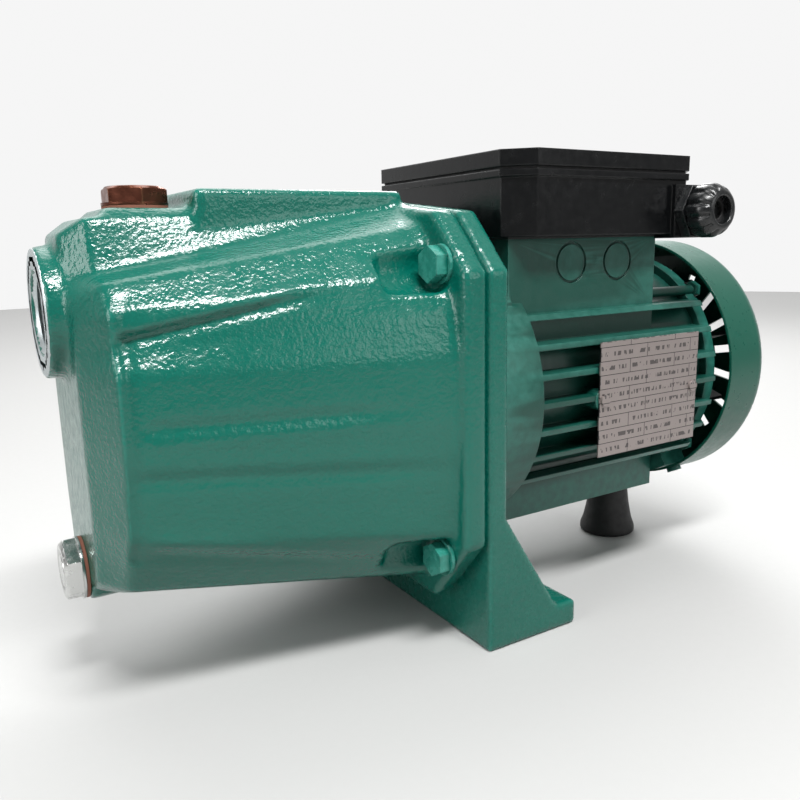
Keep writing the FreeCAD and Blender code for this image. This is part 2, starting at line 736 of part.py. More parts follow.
def make_bracket():
    """Plate, foot, gussets, spigots and bearing hub in one casting."""
    outline = mirrored_outline([
        ("0", "flange_crown"),
        ("flange_half_width - flange_corner_width", "flange_shoulder + flange_corner_height"),
        ("flange_half_width", "flange_shoulder"),
        ("flange_half_width", "-shaft_height"),
    ])
    pieces = [
        prism("bracket_plate", "X", (station("0"), "0", level()), outline, "plate_thickness"),
        prism("bracket_land", "X", (station("-land_height"), "0", level()),
              flange_outline("land_inset"), "land_height + 1"),
        block("foot_slab", (station("0"), "-flange_half_width", "0"),
              ("foot_length", "2 * flange_half_width", "foot_thickness")),
        rod("front_spigot", "X", (station("-land_height - front_spigot_length"), "0", level()),
            "casing_bore_radius - fit", "front_spigot_length + land_height + 1"),
        tube("rear_spigot", "X", (station("plate_thickness - 1"), "0", level()),
             "frame_bore_radius - fit", "frame_bore_radius - rear_spigot_wall", "rear_spigot_length + 1"),
        rod("bracket_hub", "X", (station("plate_thickness - 1"), "0", level()),
            "bracket_hub_radius", "front_bearing_start + bearing_width + 1 - plate_thickness"),
    ]
    for side in (1, -1):
        low = "flange_half_width - gusset_thickness" if side > 0 else "-flange_half_width"
        pieces.append(prism("gusset_%s" % ("left" if side > 0 else "right"), "Y",
                            (station("plate_thickness"), low, "foot_thickness"),
                            [("-1", "-1"), ("gusset_run", "-1"), ("gusset_run", "0"), ("0", "gusset_rise"),
                             ("-1", "gusset_rise")], "gusset_thickness"))
    for name, low, extent in (
            ("upright", ("-0.5 * hub_rib_thickness", level("3 - frame_bore_radius")),
             ("hub_rib_thickness", "2 * ( frame_bore_radius - 3 )")),
            ("level", ("3 - frame_bore_radius", level("-0.5 * hub_rib_thickness")),
             ("2 * ( frame_bore_radius - 3 )", "hub_rib_thickness"))):
        pieces.append(block("hub_rib_" + name, (station("plate_thickness - 1"), low[0], low[1]),
                            ("rear_spigot_length - 1", extent[0], extent[1])))
    body = fuse("bracket_body", pieces)
    hub_end = "front_bearing_start + bearing_width"
    drills = [
        rod("seal_chamber", "X", (station("-land_height - front_spigot_length - 1"), "0", level()),
            "seal_chamber_radius", "land_height + front_spigot_length + seal_seat_start + 1"),
        rod("seal_recess", "X", (station("0"), "0", level()), "seal_seat_recess_radius + fit",
            "seal_seat_start + seal_seat_thickness"),
        rod("shaft_hole", "X", (station("0"), "0", level()), "seal_seat_radius + 1.5", "front_bearing_start"),
        rod("slinger_chamber", "X", (station("slinger_start - 2"), "0", level()),
            "slinger_radius + 1.5", "front_bearing_start - slinger_start"),
        rod("front_bearing_pocket", "X", (station("front_bearing_start"), "0", level()),
            "bearing_outer_radius + fit", hub_end + " - front_bearing_start + 1"),
        block("drip_slot", (station("slinger_start - 1.5"), "-0.5 * drip_slot_width", level("-bracket_hub_radius - 1")),
              ("drip_slot_length", "drip_slot_width", "bracket_hub_radius - slinger_radius + 1")),
        tube("o_ring_groove", "X", (station("-land_height - 0.5 * front_spigot_length - 0.5 * o_ring_groove_width"),
                                    "0", level()), "casing_bore_radius + 1",
             "casing_bore_radius - o_ring_groove_depth", "o_ring_groove_width"),
    ]
    for side in (1, -1):
        drills.append(rod("foot_hole_%s" % ("left" if side > 0 else "right"), "Z",
                          ("0", "%d * 0.5 * foot_bolt_spacing" % side, "-1"), "foot_hole_radius",
                          "foot_thickness + 2"))
    for index, (y, z) in enumerate(bolt_places()):
        drills.append(rod("bracket_bolt_hole_%d" % index, "X", (station("-land_height - 1"), y, z),
                          "casing_bolt_radius + fit", "plate_thickness + land_height + 2"))
    for index, (y, z) in enumerate(tie_places()):
        drills.append(rod("bracket_tie_hole_%d" % index, "X", (station("1"), y, z),
                          "tie_bolt_radius + fit", "plate_thickness"))
    subpart("motor_bracket", cut("motor_bracket", body, drills))


# ---------------------------------------------------------------- ejector and impeller

def make_ejector():
    """Nozzle in the feed boss, and the venturi tube from the partition to the diffuser."""
    tip = "nozzle_length - nozzle_shank_length"
    subpart("ejector_nozzle", turned("ejector_nozzle", "X", (station("-feed_boss_end"), "0", level()), [
        ("-nozzle_shank_length", "nozzle_shank_radius - 2.4"),
        ("-nozzle_shank_length", "nozzle_shank_radius"),
        ("0", "nozzle_shank_radius"),
        ("0", "nozzle_shank_radius + 3"),
        ("3", "nozzle_shank_radius + 3"),
        ("3", "nozzle_shank_radius"),
        (tip + " - 10", "nozzle_tip_radius"),
        (tip + " - 10", "nozzle_jet_radius"),
    ]))
    neck = "-partition_setback"
    end = "-land_height - casing_bore_depth - 4"
    length = "( %s ) - ( %s )" % (end, neck)
    subpart("venturi_tube", turned("venturi_tube", "X", (station(neck), "0", level()), [
        ("0", "venturi_inlet_radius"),
        ("0", "venturi_inlet_radius + venturi_wall"),
        ("partition_thickness", "venturi_inlet_radius + venturi_wall"),
        ("partition_thickness", "venturi_inlet_radius + venturi_wall + 2"),
        ("partition_thickness + 3", "venturi_inlet_radius + venturi_wall + 2"),
        ("22", "venturi_throat_radius + venturi_wall"),
        (length, "venturi_radius - fit"),
        (length, "venturi_radius - venturi_wall"),
        ("22", "venturi_throat_radius"),
        ("14", "venturi_throat_radius"),
    ]))


def impeller_front():
    return "-impeller_back - impeller_width"


def make_diffuser():
    """Guide disc round the impeller, with a wear bore for its eye and a neck for the venturi."""
    start = "-land_height - casing_bore_depth"
    rise = "( %s ) - ( %s )" % (impeller_front() + " - impeller_eye_length", start)
    disc = turned("diffuser_disc", "X", (station(start), "0", level()), [
        ("-diffuser_neck_length", "venturi_radius + fit"),
        ("-diffuser_neck_length", "diffuser_neck_radius"),
        ("0", "diffuser_neck_radius"),
        ("0", "diffuser_disc_radius"),
        ("diffuser_thickness", "diffuser_disc_radius"),
        ("diffuser_thickness", "impeller_eye_radius + impeller_eye_ring + wear_clearance"),
        ("%s - 1" % rise, "impeller_eye_radius + impeller_eye_ring + wear_clearance"),
        ("%s - 1" % rise, "venturi_radius + fit"),
    ])
    vanes = doc.addObject("Part::Feature", "diffuser_vanes")
    inner = size("impeller_radius") + 2.5
    outer = size("casing_bore_radius") - size("fit") * 2
    depth = size("casing_bore_depth") - size("front_spigot_length") - size("fit")
    blade = Part.makeBox(depth, outer - inner, size("diffuser_vane_width"),
                         VECTOR(0, inner, -0.5 * size("diffuser_vane_width")))
    limit = Part.makeCylinder(outer, depth, VECTOR(0, 0, 0), VECTOR(1, 0, 0))
    blades = []
    for index in range(DIFFUSER_VANES):
        turn = blade.copy()
        turn.rotate(VECTOR(0, 0, 0), VECTOR(1, 0, 0), 360.0 * index / DIFFUSER_VANES)
        blades.append(turn.common(limit))
    vanes.Shape = Part.makeCompound(blades)
    place(vanes, (station(start), "0", level()))
    subpart("diffuser", fuse("diffuser", [disc, vanes]))


def make_impeller():
    """Closed impeller: back disc, backward-curved vanes, shroud, eye ring and hub."""
    front = impeller_front()
    back_disc = tube("impeller_back_disc", "X", (station("-impeller_back - impeller_disc_thickness"), "0", level()),
                     "impeller_radius", "impeller_seat_radius + fit", "impeller_disc_thickness")
    shroud = tube("impeller_shroud", "X", (station(front), "0", level()),
                  "impeller_radius", "impeller_eye_radius", "impeller_disc_thickness")
    eye = tube("impeller_eye", "X", (station(front + " - impeller_eye_length"), "0", level()),
               "impeller_eye_radius + impeller_eye_ring", "impeller_eye_radius",
               "impeller_eye_length + impeller_disc_thickness")
    hub = tube("impeller_hub", "X", (station(front + " + 1"), "0", level()), "impeller_hub_radius",
               "impeller_seat_radius + fit", "impeller_width - 0.7")
    vanes = doc.addObject("Part::Feature", "impeller_vanes")
    width = size("impeller_width")
    curve = size("impeller_vane_curve")
    centre = VECTOR(0, 0.62 * size("impeller_radius"), 0.1 * size("impeller_radius"))
    band = Part.makeCylinder(curve, width - 1, centre, VECTOR(1, 0, 0)).cut(
        Part.makeCylinder(curve - size("impeller_vane_thickness"), width - 1, centre, VECTOR(1, 0, 0)))
    annulus = Part.makeCylinder(size("impeller_radius") - 0.5, width - 1, VECTOR(), VECTOR(1, 0, 0)).cut(
        Part.makeCylinder(size("impeller_hub_radius") - 1, width - 1, VECTOR(), VECTOR(1, 0, 0)))
    half = Part.makeBox(width, 120, 120, VECTOR(-0.5, -60, 0))
    blade = band.common(annulus).common(half)
    blades = []
    for index in range(IMPELLER_VANES):
        turn = blade.copy()
        turn.rotate(VECTOR(), VECTOR(1, 0, 0), 360.0 * index / IMPELLER_VANES)
        blades.append(turn)
    vanes.Shape = Part.makeCompound(blades)
    place(vanes, (station(front + " + 0.5"), "0", level()))
    whole = fuse("impeller_whole", [back_disc, shroud, eye, hub, vanes])
    keyway = block("impeller_keyway", (station("-impeller_back - impeller_width - 1"), "-0.5 * key_width - fit",
                                       level("0")),
                   ("impeller_width + 4", "key_width + 2 * fit", "impeller_seat_radius + 0.4 * key_height + fit"))
    subpart("impeller", cut("impeller", whole, [keyway]))


# ---------------------------------------------------------------- shaft, seal and bearings

def make_shaft():
    """Stepped shaft: thread, impeller seat, seal, bearing seats, rotor and fan seat."""
    impeller_seat = impeller_front() + " + 1"
    rotor_start = "front_bearing_start + bearing_width"
    shaft = turned("shaft_turned", "X", (station("0"), "0", level()), [
        ("-shaft_front_end", "0"),
        ("-shaft_front_end", "stub_radius"),
        (impeller_seat, "stub_radius"),
        (impeller_seat, "impeller_seat_radius"),
        ("0.3 - impeller_back", "impeller_seat_radius"),
        ("0.3 - impeller_back", "seal_seat_radius"),
        ("slinger_start - 2", "seal_seat_radius"),
        ("slinger_start - 2", "bearing_bore_radius"),
        (rotor_start, "bearing_bore_radius"),
        (rotor_start, "rotor_shaft_radius"),
        ("rear_bearing_start", "rotor_shaft_radius"),
        ("rear_bearing_start", "bearing_bore_radius"),
        ("rear_bearing_start + bearing_width + 3", "bearing_bore_radius"),
        ("rear_bearing_start + bearing_width + 3", "fan_seat_radius"),
        ("shaft_rear_end", "fan_seat_radius"),
        ("shaft_rear_end", "0"),
    ])
    key_start = "-impeller_back - 1 - key_length"
    key_floor = "impeller_seat_radius - 0.6 * key_height"
    keyway = block("shaft_keyway", (station(key_start + " - fit"), "-0.5 * key_width - fit", level(key_floor)),
                   ("key_length + 2 * fit", "key_width + 2 * fit", "key_height + 2"))
    subpart("shaft", cut("shaft", shaft, [keyway]))
    subpart("impeller_key", block("impeller_key", (station(key_start), "-0.5 * key_width", level(key_floor)),
                                  ("key_length", "key_width", "key_height")))
    nut = hexagon("nut_blank", "X", (station(impeller_front() + " + 1 - impeller_nut_height"), "0", level()),
                  "impeller_nut_across_flats", "impeller_nut_height")
    thread = rod("nut_thread", "X", (station("-shaft_front_end - 5"), "0", level()), "stub_radius + fit", "20")
    subpart("impeller_nut", cut("impeller_nut", nut, [thread]))


def make_seal():
    """Mechanical seal: fixed seat, turning head and the sprung bellows between head and impeller."""
    subpart("seal_seat", tube("seal_seat", "X", (station("seal_seat_start"), "0", level()),
                              "seal_seat_recess_radius", "seal_seat_radius + 0.6", "seal_seat_thickness"))
    subpart("seal_head", tube("seal_head", "X", (station("seal_seat_start - seal_head_length - fit"), "0", level()),
                              "seal_head_radius", "seal_seat_radius + fit", "seal_head_length"))
    start = "bellows_gap - impeller_back"
    half_fold = "( seal_seat_start - seal_head_length - fit - ( %s ) ) / %d" % (start, 2 * BELLOWS_FOLDS)
    outside = [("%d * %s" % (step, half_fold), "bellows_crest_radius" if step % 2 else "bellows_root_radius")
               for step in range(2 * BELLOWS_FOLDS + 1)]
    inside = [(along, radius + " - bellows_wall") for along, radius in reversed(outside)]
    subpart("seal_bellows", turned("seal_bellows", "X", (station(start), "0", level()), outside + inside))
    subpart("water_slinger", tube("water_slinger", "X", (station("slinger_start"), "0", level()),
                                  "slinger_radius", "bearing_bore_radius + fit", "slinger_thickness"))


def make_bearing(name, start):
    """Deep groove ball bearing: outer ring, inner ring, balls and cage."""
    at = (station(start), "0", level())
    middle = (station(start + " + 0.5 * bearing_width"), "0", level())
    outer_blank = tube(name + "_outer_blank", "X", at, "bearing_outer_radius",
                       "bearing_outer_radius - bearing_ring_wall", "bearing_width")
    inner_blank = tube(name + "_inner_blank", "X", at, "bearing_bore_radius + bearing_ring_wall",
                       "bearing_bore_radius + fit", "bearing_width")
    groove = doc.addObject("Part::Torus", name + "_groove")
    bind(groove, Radius1="bearing_pitch_radius", Radius2="bearing_ball_radius + running_gap")
    place(groove, middle, ALONG["X"])
    subpart(name + "_outer_ring", cut(name + "_outer_ring", outer_blank, [groove]))
    subpart(name + "_inner_ring", cut(name + "_inner_ring", inner_blank, [groove]))
    balls = []
    pockets = []
    for index in range(BALLS):
        angle = 2 * math.pi * index / BALLS
        for kind, radius, kept in (("ball", "bearing_ball_radius", balls),
                                   ("pocket", "bearing_ball_radius + running_gap", pockets)):
            ball = doc.addObject("Part::Sphere", "%s_%s_%d" % (name, kind, index))
            bind(ball, Radius=radius)
            kept.append(place(ball, (middle[0], "%.6f * bearing_pitch_radius" % math.cos(angle),
                                     level("%.6f * bearing_pitch_radius" % math.sin(angle)))))
    subpart(name + "_balls", group(name + "_balls", balls))
    cage_start = (station(start + " + 0.5 * bearing_width - bearing_cage_half_width"), "0", level())
    band = tube(name + "_cage_band", "X", cage_start, "bearing_pitch_radius + 0.5 * bearing_cage_wall",
                "bearing_pitch_radius - 0.5 * bearing_cage_wall", "2 * bearing_cage_half_width")
    subpart(name + "_cage", cut(name + "_cage", band, pockets))


# ---------------------------------------------------------------- motor

def make_frame():
    """Finned motor frame with the front ring, tie lugs, bottom rail and box pedestal."""
    barrel = rod("frame_barrel", "X", (station("plate_thickness"), "0", level()),
                 "frame_bore_radius + frame_wall", "frame_length")
    front_ring = rod("frame_front_ring", "X", (station("plate_thickness"), "0", level()),
                     "frame_ring_radius", "frame_ring_length")
    envelope = rod("fin_envelope", "X", (station("plate_thickness"), "0", level()), "fin_radius", "frame_length")
    fins = []
    for index in range(FINS_PER_SIDE):
        row = "fin_offset + %d * fin_pitch - 0.5 * fin_thickness" % (index - FINS_PER_SIDE // 2)
        fins.append(block("fin_%d" % index, (station("plate_thickness + frame_ring_length - 1"),
                                             "-fin_radius", level(row)),
                          ("frame_length - frame_ring_length + 1", "2 * fin_radius", "fin_thickness")))
    fin_set = common("fin_set", fuse("fin_blocks", fins), envelope)
    rail = block("frame_rail", (station("plate_thickness"), "-rail_half_width", "rail_bottom"),
                 ("rail_length", "2 * rail_half_width", "shaft_height - frame_bore_radius - rail_bottom"))
    foot_pad = block("foot_pad", (station("rubber_foot_setback - foot_pad_half_width"), "-foot_pad_half_width",
                                  "rail_bottom"),
                     ("cover_start - 1.2 - rubber_foot_setback + foot_pad_half_width", "2 * foot_pad_half_width",
                      "shaft_height - shield_radius - 0.1 - rail_bottom"))
    pedestal = block("pedestal", (station("pedestal_start"), "-pedestal_half_width", level("20")),
                     ("pedestal_length", "2 * pedestal_half_width", "box_floor_level - 20 - box_gasket"))
    lugs = [rod("tie_lug_%d" % index, "X", (station("plate_thickness"), y, z), "tie_lug_radius", "tie_lug_length")
            for index, (y, z) in enumerate(tie_places())]
    bosses = [rod("rivet_boss_%d" % index, "Y",
                  (station(x), "nameplate_thickness - nameplate_reach", level("nameplate_level")),
                  "rivet_boss_radius", "nameplate_reach - frame_bore_radius - 2")
              for index, x in enumerate(rivet_stations())]
    solid = fuse("frame_solid", [barrel, front_ring, fin_set, rail, foot_pad, pedestal] + lugs + bosses)
    drills = [
        rod("frame_bore", "X", (station("plate_thickness - 1"), "0", level()), "frame_bore_radius",
            "frame_length + 2"),
        block("pedestal_pocket", (station("pedestal_start + pedestal_wall"), "pedestal_wall - pedestal_half_width",
                                  level("box_floor_level - pedestal_depth")),
              ("pedestal_length - 2 * pedestal_wall", "2 * ( pedestal_half_width - pedestal_wall )",
               "pedestal_depth + 1")),
        rod("lead_hole", "Z", (station("pedestal_start + 0.25 * pedestal_length"), "0", level("frame_bore_radius - 5")),
            "lead_hole_radius", "15"),
        rod("foot_screw_hole", "Z", (station("rubber_foot_setback"), "0", "rail_bottom - 1"),
            "foot_screw_radius + fit", "14"),
    ]
    for index, (y, z) in enumerate(tie_places()):
        drills.append(rod("frame_tie_hole_%d" % index, "X", (station("plate_thickness - 1"), y, z),
                          "tie_bolt_radius + screw_clearance", "frame_length + 2"))
        drills.append(rod("tie_channel_%d" % index, "X", (station("plate_thickness + tie_lug_length"), y, z),
                          "tie_channel_radius", "frame_length"))
    for side in (1, -1):
        for index, share in enumerate((0.4, 0.72)):
            at_face = "pedestal_half_width - knockout_depth" if side > 0 else "-pedestal_half_width - 1"
            drills.append(tube("knockout_%d_%d" % (side + 1, index), "Y",
                               (station("pedestal_start + %s * pedestal_length" % share), at_face,
                                level("box_floor_level - knockout_radius - 2.5")),
                               "knockout_radius", "knockout_radius - knockout_ring", "knockout_depth + 1"))
    for index, x in enumerate(rivet_stations()):
        drills.append(rod("rivet_hole_%d" % index, "Y", (station(x), "-nameplate_reach", level("nameplate_level")),
                          "rivet_radius + fit", "7"))
    for index, (x, y) in enumerate(base_screw_places()):
        drills.append(rod("base_screw_hole_%d" % index, "Z", (x, y, level("box_floor_level - 11")),
                          "base_screw_radius + fit", "12"))
    subpart("motor_frame", cut("motor_frame", solid, drills))


def rivet_stations():
    return ["nameplate_start + rivet_inset", "nameplate_start + nameplate_length - rivet_inset"]


def base_screw_places():
    """X and Y expressions of the screws that hold the box base to the pedestal."""
    centre = "pedestal_start + 0.5 * pedestal_length"
    return [(station(centre + " + %s * base_screw_spacing_x" % (0.5 * ahead)),
             "%s * base_screw_spacing_y" % (0.5 * side)) for ahead, side in CORNERS]


def make_stator():
    """Slotted core with its winding: a bar in every slot and a ring of turns at each end."""
    core = new_body("stator_core", (station("stator_start"), "0", level()))
    face = ring(sketch_on(core, "YZ_Plane"), "frame_bore_radius - fit")
    ring(face, "rotor_radius + air_gap")
    pad = core.newObject("PartDesign::Pad", "stator_pad")
    pad.Profile = face
    bind(pad, Length="stator_length")
    slot = sketch_on(core, "YZ_Plane", tag="slot")
    draw(slot, [("-0.5 * slot_width", "slot_inner_radius"), ("0.5 * slot_width", "slot_inner_radius"),
                ("0.75 * slot_width", "slot_outer_radius"), ("-0.75 * slot_width", "slot_outer_radius")])
    pocket = core.newObject("PartDesign::Pocket", "stator_slot")
    pocket.Profile = slot
    pocket.Reversed = True
    bind(pocket, Length="stator_length")
    pattern = core.newObject("PartDesign::PolarPattern", "stator_slots")
    pattern.Originals = [pocket]
    pattern.Axis = (slot, ["N_Axis"])
    pattern.Angle = 360
    pattern.Occurrences = STATOR_SLOTS
    core.Tip = pattern
    subpart("stator_core", core)

    winding = new_body("stator_winding", (station("stator_start - winding_end_length"), "0", level()))
    first = ring(sketch_on(winding, "YZ_Plane"), "winding_outer_radius")
    ring(first, "slot_inner_radius + 0.5")
    front_turns = winding.newObject("PartDesign::Pad", "front_turns")
    front_turns.Profile = first
    bind(front_turns, Length="winding_end_length - fit")
    bar = sketch_on(winding, "YZ_Plane", "winding_end_length - 1", "bar")
    draw(bar, [("1 - 0.5 * slot_width", "slot_inner_radius + 0.6"), ("0.5 * slot_width - 1", "slot_inner_radius + 0.6"),
               ("0.75 * slot_width - 1", "slot_outer_radius - 0.6"),
               ("1 - 0.75 * slot_width", "slot_outer_radius - 0.6")])
    bars = winding.newObject("PartDesign::Pad", "winding_bar")
    bars.Profile = bar
    bind(bars, Length="stator_length + 2")
    spread = winding.newObject("PartDesign::PolarPattern", "winding_bars")
    spread.Originals = [bars]
    spread.Axis = (bar, ["N_Axis"])
    spread.Angle = 360
    spread.Occurrences = STATOR_SLOTS
    last = ring(sketch_on(winding, "YZ_Plane", "winding_end_length + stator_length + fit", "last"),
                "winding_outer_radius")
    ring(last, "slot_inner_radius + 0.5")
    rear_turns = winding.newObject("PartDesign::Pad", "rear_turns")
    rear_turns.Profile = last
    bind(rear_turns, Length="winding_end_length - fit")
    winding.Tip = rear_turns
    subpart("stator_winding", winding)


def make_rotor():
    subpart("rotor_core", tube("rotor_core", "X", (station("stator_start"), "0", level()), "rotor_radius",
                               "rotor_shaft_radius + fit", "stator_length"))
    front = tube("front_end_ring", "X", (station("stator_start - end_ring_length"), "0", level()),
                 "end_ring_outer_radius", "end_ring_inner_radius", "end_ring_length")
    rear = tube("rear_end_ring", "X", (station("stator_start + stator_length"), "0", level()),
                "end_ring_outer_radius", "end_ring_inner_radius", "end_ring_length")
    subpart("rotor_end_rings", group("rotor_end_rings", [front, rear]))


def make_rear_shield():
    """End shield that closes the frame, holds the rear bearing and carries the fan cover."""
    start = "frame_end"
    pocket_end = "rear_bearing_start + bearing_width + wave_spring_thickness + 0.6"
    disc = rod("shield_disc", "X", (station(start), "0", level()), "shield_radius", "shield_thickness")
    spigot = tube("shield_spigot", "X", (station(start + " - 6"), "0", level()), "frame_bore_radius - fit",
                  "frame_bore_radius - 5", "7")
    hub = rod("shield_hub", "X", (station("rear_bearing_start"), "0", level()), "shield_hub_radius",
              start + " + 1 - rear_bearing_start")
    lugs = [spoke("shield_lug_%d" % index, angle, start, "shield_lug_root", "2 * shield_lug_half_width",
                  "cover_start + 8 - ( %s )" % start, "cover_radius - cover_wall - fit - shield_lug_root")
            for index, angle in enumerate(COVER_SCREW_ANGLES)]
    lug_limit = rod("shield_lug_limit", "X", (station(start), "0", level()), "cover_radius - cover_wall - fit",
                    "cover_start + 9 - ( %s )" % start)
    arms = common("shield_arms", fuse("shield_lug_blocks", lugs), lug_limit)
    body = fuse("shield_body", [disc, spigot, hub, arms])
    drills = [
        rod("rear_bearing_pocket", "X", (station("rear_bearing_start - 1"), "0", level()),
            "bearing_outer_radius + fit", pocket_end + " - rear_bearing_start + 1"),
        rod("rear_shaft_hole", "X", (station("rear_bearing_start"), "0", level()), "bearing_bore_radius + 0.5",
            start + " + shield_thickness + 9 - rear_bearing_start"),
    ]
    for index, (y, z) in enumerate(tie_places()):
        drills.append(rod("shield_tie_hole_%d" % index, "X", (station(start + " - 8"), y, z),
                          "tie_bolt_radius + screw_clearance", "shield_thickness + 16"))
        drills.append(rod("shield_tie_seat_%d" % index, "X", (station(start + " + shield_thickness - 1"), y, z),
                          "0.7 * tie_head_across_flats", "9"))
    for index, angle in enumerate(COVER_SCREW_ANGLES):
        drills.append(radial_rod("cover_screw_hole_%d" % index, angle, COVER_SCREW_STATION,
                                 "shield_lug_root + 2", "cover_screw_radius + fit", "12"))
    subpart("rear_shield", cut("rear_shield", body, drills))

    subpart("wave_spring", tube("wave_spring", "X", (station("rear_bearing_start + bearing_width + fit"), "0", level()),
                                "bearing_outer_radius - 0.5", "bearing_outer_radius - 3.5",
                                "wave_spring_thickness"))


def make_tie_bolts():
    bolts = []
    end = "frame_end" + " + shield_thickness - 1"
    for index, (y, z) in enumerate(tie_places()):
        stem = rod("tie_stem_%d" % index, "X", (station("2"), y, z), "tie_bolt_radius", end + " - 1.5")
        head = hexagon("tie_head_%d" % index, "X", (station(end), y, z), "tie_head_across_flats", "tie_head_height")
        bolts.append(fuse("tie_bolt_%d" % index, [stem, head]))
    subpart("tie_bolts", group("tie_bolts", bolts))


def make_fan():
    """Radial cooling fan: hub, disc and straight blades."""
    hub = rod("fan_hub", "X", (station("fan_start"), "0", level()), "fan_hub_radius", "fan_hub_length")
    disc = rod("fan_disc", "X", (station("fan_start"), "0", level()), "fan_disc_radius", "fan_disc_thickness")
    blades = [spoke("fan_blade_%d" % index, 360.0 * index / FAN_BLADES, "fan_start", "fan_hub_radius - 2",
                    "fan_blade_thickness", "fan_blade_width", "fan_disc_radius - fan_hub_radius + 1")
              for index in range(FAN_BLADES)]
    whole = fuse("fan_whole", [hub, disc] + blades)
    bore = rod("fan_bore", "X", (station("fan_start - 1"), "0", level()), "fan_seat_radius + fit", "fan_hub_length + 2")
    subpart("fan", cut("fan", whole, [bore]))


def make_cover():
    """Deep cup over the fan, with a rounded rear edge and slots for the cooling air."""
    cup = new_body("fan_cover_cup", (station("cover_start"), "0", level()))
    disc = ring(sketch_on(cup, "YZ_Plane"), "cover_radius")
    drum = cup.newObject("PartDesign::Pad", "cover_drum")
    drum.Profile = disc
    bind(drum, Length="cover_length")
    doc.recompute()
    rear_edge = [index for index, edge in enumerate(drum.Shape.Edges, start=1)
                 if abs(edge.BoundBox.XMin - size("cover_length")) < 0.01 and len(edge.Vertexes) == 1]
    round_edge = cup.newObject("PartDesign::Fillet", "cover_round")
    round_edge.Base = (drum, ["Edge%d" % rear_edge[0]])
    bind(round_edge, Radius="cover_corner_radius")
    hollow = turned("cover_hollow", "X", (station("cover_start"), "0", level()), [
        ("-1", "0"),
        ("-1", "cover_radius - cover_wall"),
        ("cover_length - cover_corner_radius", "cover_radius - cover_wall"),
        ("cover_length - 0.3 * cover_corner_radius - cover_wall",
         "cover_radius - 0.3 * cover_corner_radius - cover_wall"),
        ("cover_length - cover_wall", "cover_radius - cover_corner_radius"),
        ("cover_length - cover_wall", "0"),
    ])
    tools = [hollow]
    for row, (low, high, count) in enumerate(COVER_SLOT_ROWS):
        tools += [spoke("cover_slot_%d_%d" % (row, index), 360.0 * (index + 0.5) / count,
                        "cover_start + cover_length - cover_wall - 3", str(low), "cover_slot_width",
                        "cover_wall + 6", str(high - low)) for index in range(count)]
    tools += [radial_rod("cover_hole_%d" % index, angle, COVER_SCREW_STATION, "cover_radius - 6",
                         "cover_screw_radius + screw_clearance", "12")
              for index, angle in enumerate(COVER_SCREW_ANGLES)]
    subpart("fan_cover", cut("fan_cover", cup, tools))

    screws = []
    for index, angle in enumerate(COVER_SCREW_ANGLES):
        stem = radial_rod("cover_screw_stem_%d" % index, angle, COVER_SCREW_STATION, "cover_radius - 7",
                          "cover_screw_radius", "7.5")
        head = radial_rod("cover_screw_head_%d" % index, angle, COVER_SCREW_STATION, "cover_radius",
                          "cover_screw_head_radius", "cover_screw_head_height")
        screws.append(fuse("cover_screw_%d" % index, [stem, head]))
    subpart("fan_cover_screws", group("fan_cover_screws", screws))


def make_rubber_foot():
    """Conical rubber foot under the motor rail, held by a screw from below."""
    at = (station("rubber_foot_setback"), "0", "0")
    cone = turned("rubber_foot", "Z", at, [
        ("0", "foot_screw_head_radius + 1"),
        ("0", "rubber_foot_radius - 2"),
        ("rubber_foot_rim * 0.4", "rubber_foot_radius"),
        ("rubber_foot_rim", "rubber_foot_radius"),
        ("rail_bottom - 1", "rubber_foot_top_radius"),
        ("rail_bottom", "rubber_foot_top_radius"),
        ("rail_bottom", "foot_screw_radius + fit"),
        ("foot_screw_recess + foot_screw_head_height", "foot_screw_radius + fit"),
        ("foot_screw_recess + foot_screw_head_height", "foot_screw_head_radius + 1"),
    ])
    subpart("rubber_foot", cone)
    head = rod("foot_screw_head", "Z", (at[0], "0", "foot_screw_recess"), "foot_screw_head_radius",
               "foot_screw_head_height")
    stem = rod("foot_screw_stem", "Z", (at[0], "0", "foot_screw_recess + 1"), "foot_screw_radius",
               "rail_bottom + 9 - foot_screw_recess")
    subpart("foot_screw", fuse("foot_screw", [head, stem]))


def make_nameplate():
    """Thin rating plate on two bosses of the frame, with a rivet at each end."""
    plate = block("nameplate_sheet",
                  (station("nameplate_start"), "-nameplate_reach",
                   level("nameplate_level - 0.5 * nameplate_height")),
                  ("nameplate_length", "nameplate_thickness", "nameplate_height"))
    holes = []
    rivets = []
    for index, x in enumerate(rivet_stations()):
        holes.append(rod("plate_hole_%d" % index, "Y", (station(x), "-nameplate_reach - 1", level("nameplate_level")),
                         "rivet_radius + fit", "3"))
        head = rod("rivet_head_%d" % index, "Y",
                   (station(x), "-nameplate_reach - rivet_head_height", level("nameplate_level")),
                   "rivet_head_radius", "rivet_head_height")
        stem = rod("rivet_stem_%d" % index, "Y", (station(x), "-nameplate_reach - 0.5", level("nameplate_level")),
                   "rivet_radius", "6.5")
        rivets.append(fuse("rivet_%d" % index, [head, stem]))
    subpart("nameplate", cut("nameplate", plate, holes))
    subpart("nameplate_rivets", group("nameplate_rivets", rivets))


# ---------------------------------------------------------------- terminal box

def box_outline(inset="0"):
    """Rectangle with cut corners, about the middle of the box."""
    half_x = "0.5 * box_length - %s" % inset
    half_y = "box_half_width - %s" % inset
    corner = "box_corner - 0.586 * %s" % inset
    points = []
    for x, y in ((1, 1), (-1, 1), (-1, -1), (1, -1)):
        on_end = ("%d * ( %s )" % (x, half_x), "%d * ( %s - ( %s ) )" % (y, half_y, corner))
        on_side = ("%d * ( %s - ( %s ) )" % (x, half_x, corner), "%d * ( %s )" % (y, half_y))
        points += [on_end, on_side] if x * y > 0 else [on_side, on_end]
    return points


def box_middle():
    return station("box_start + 0.5 * box_length")


def lid_level():
    return "box_floor_level + box_height - lid_thickness"


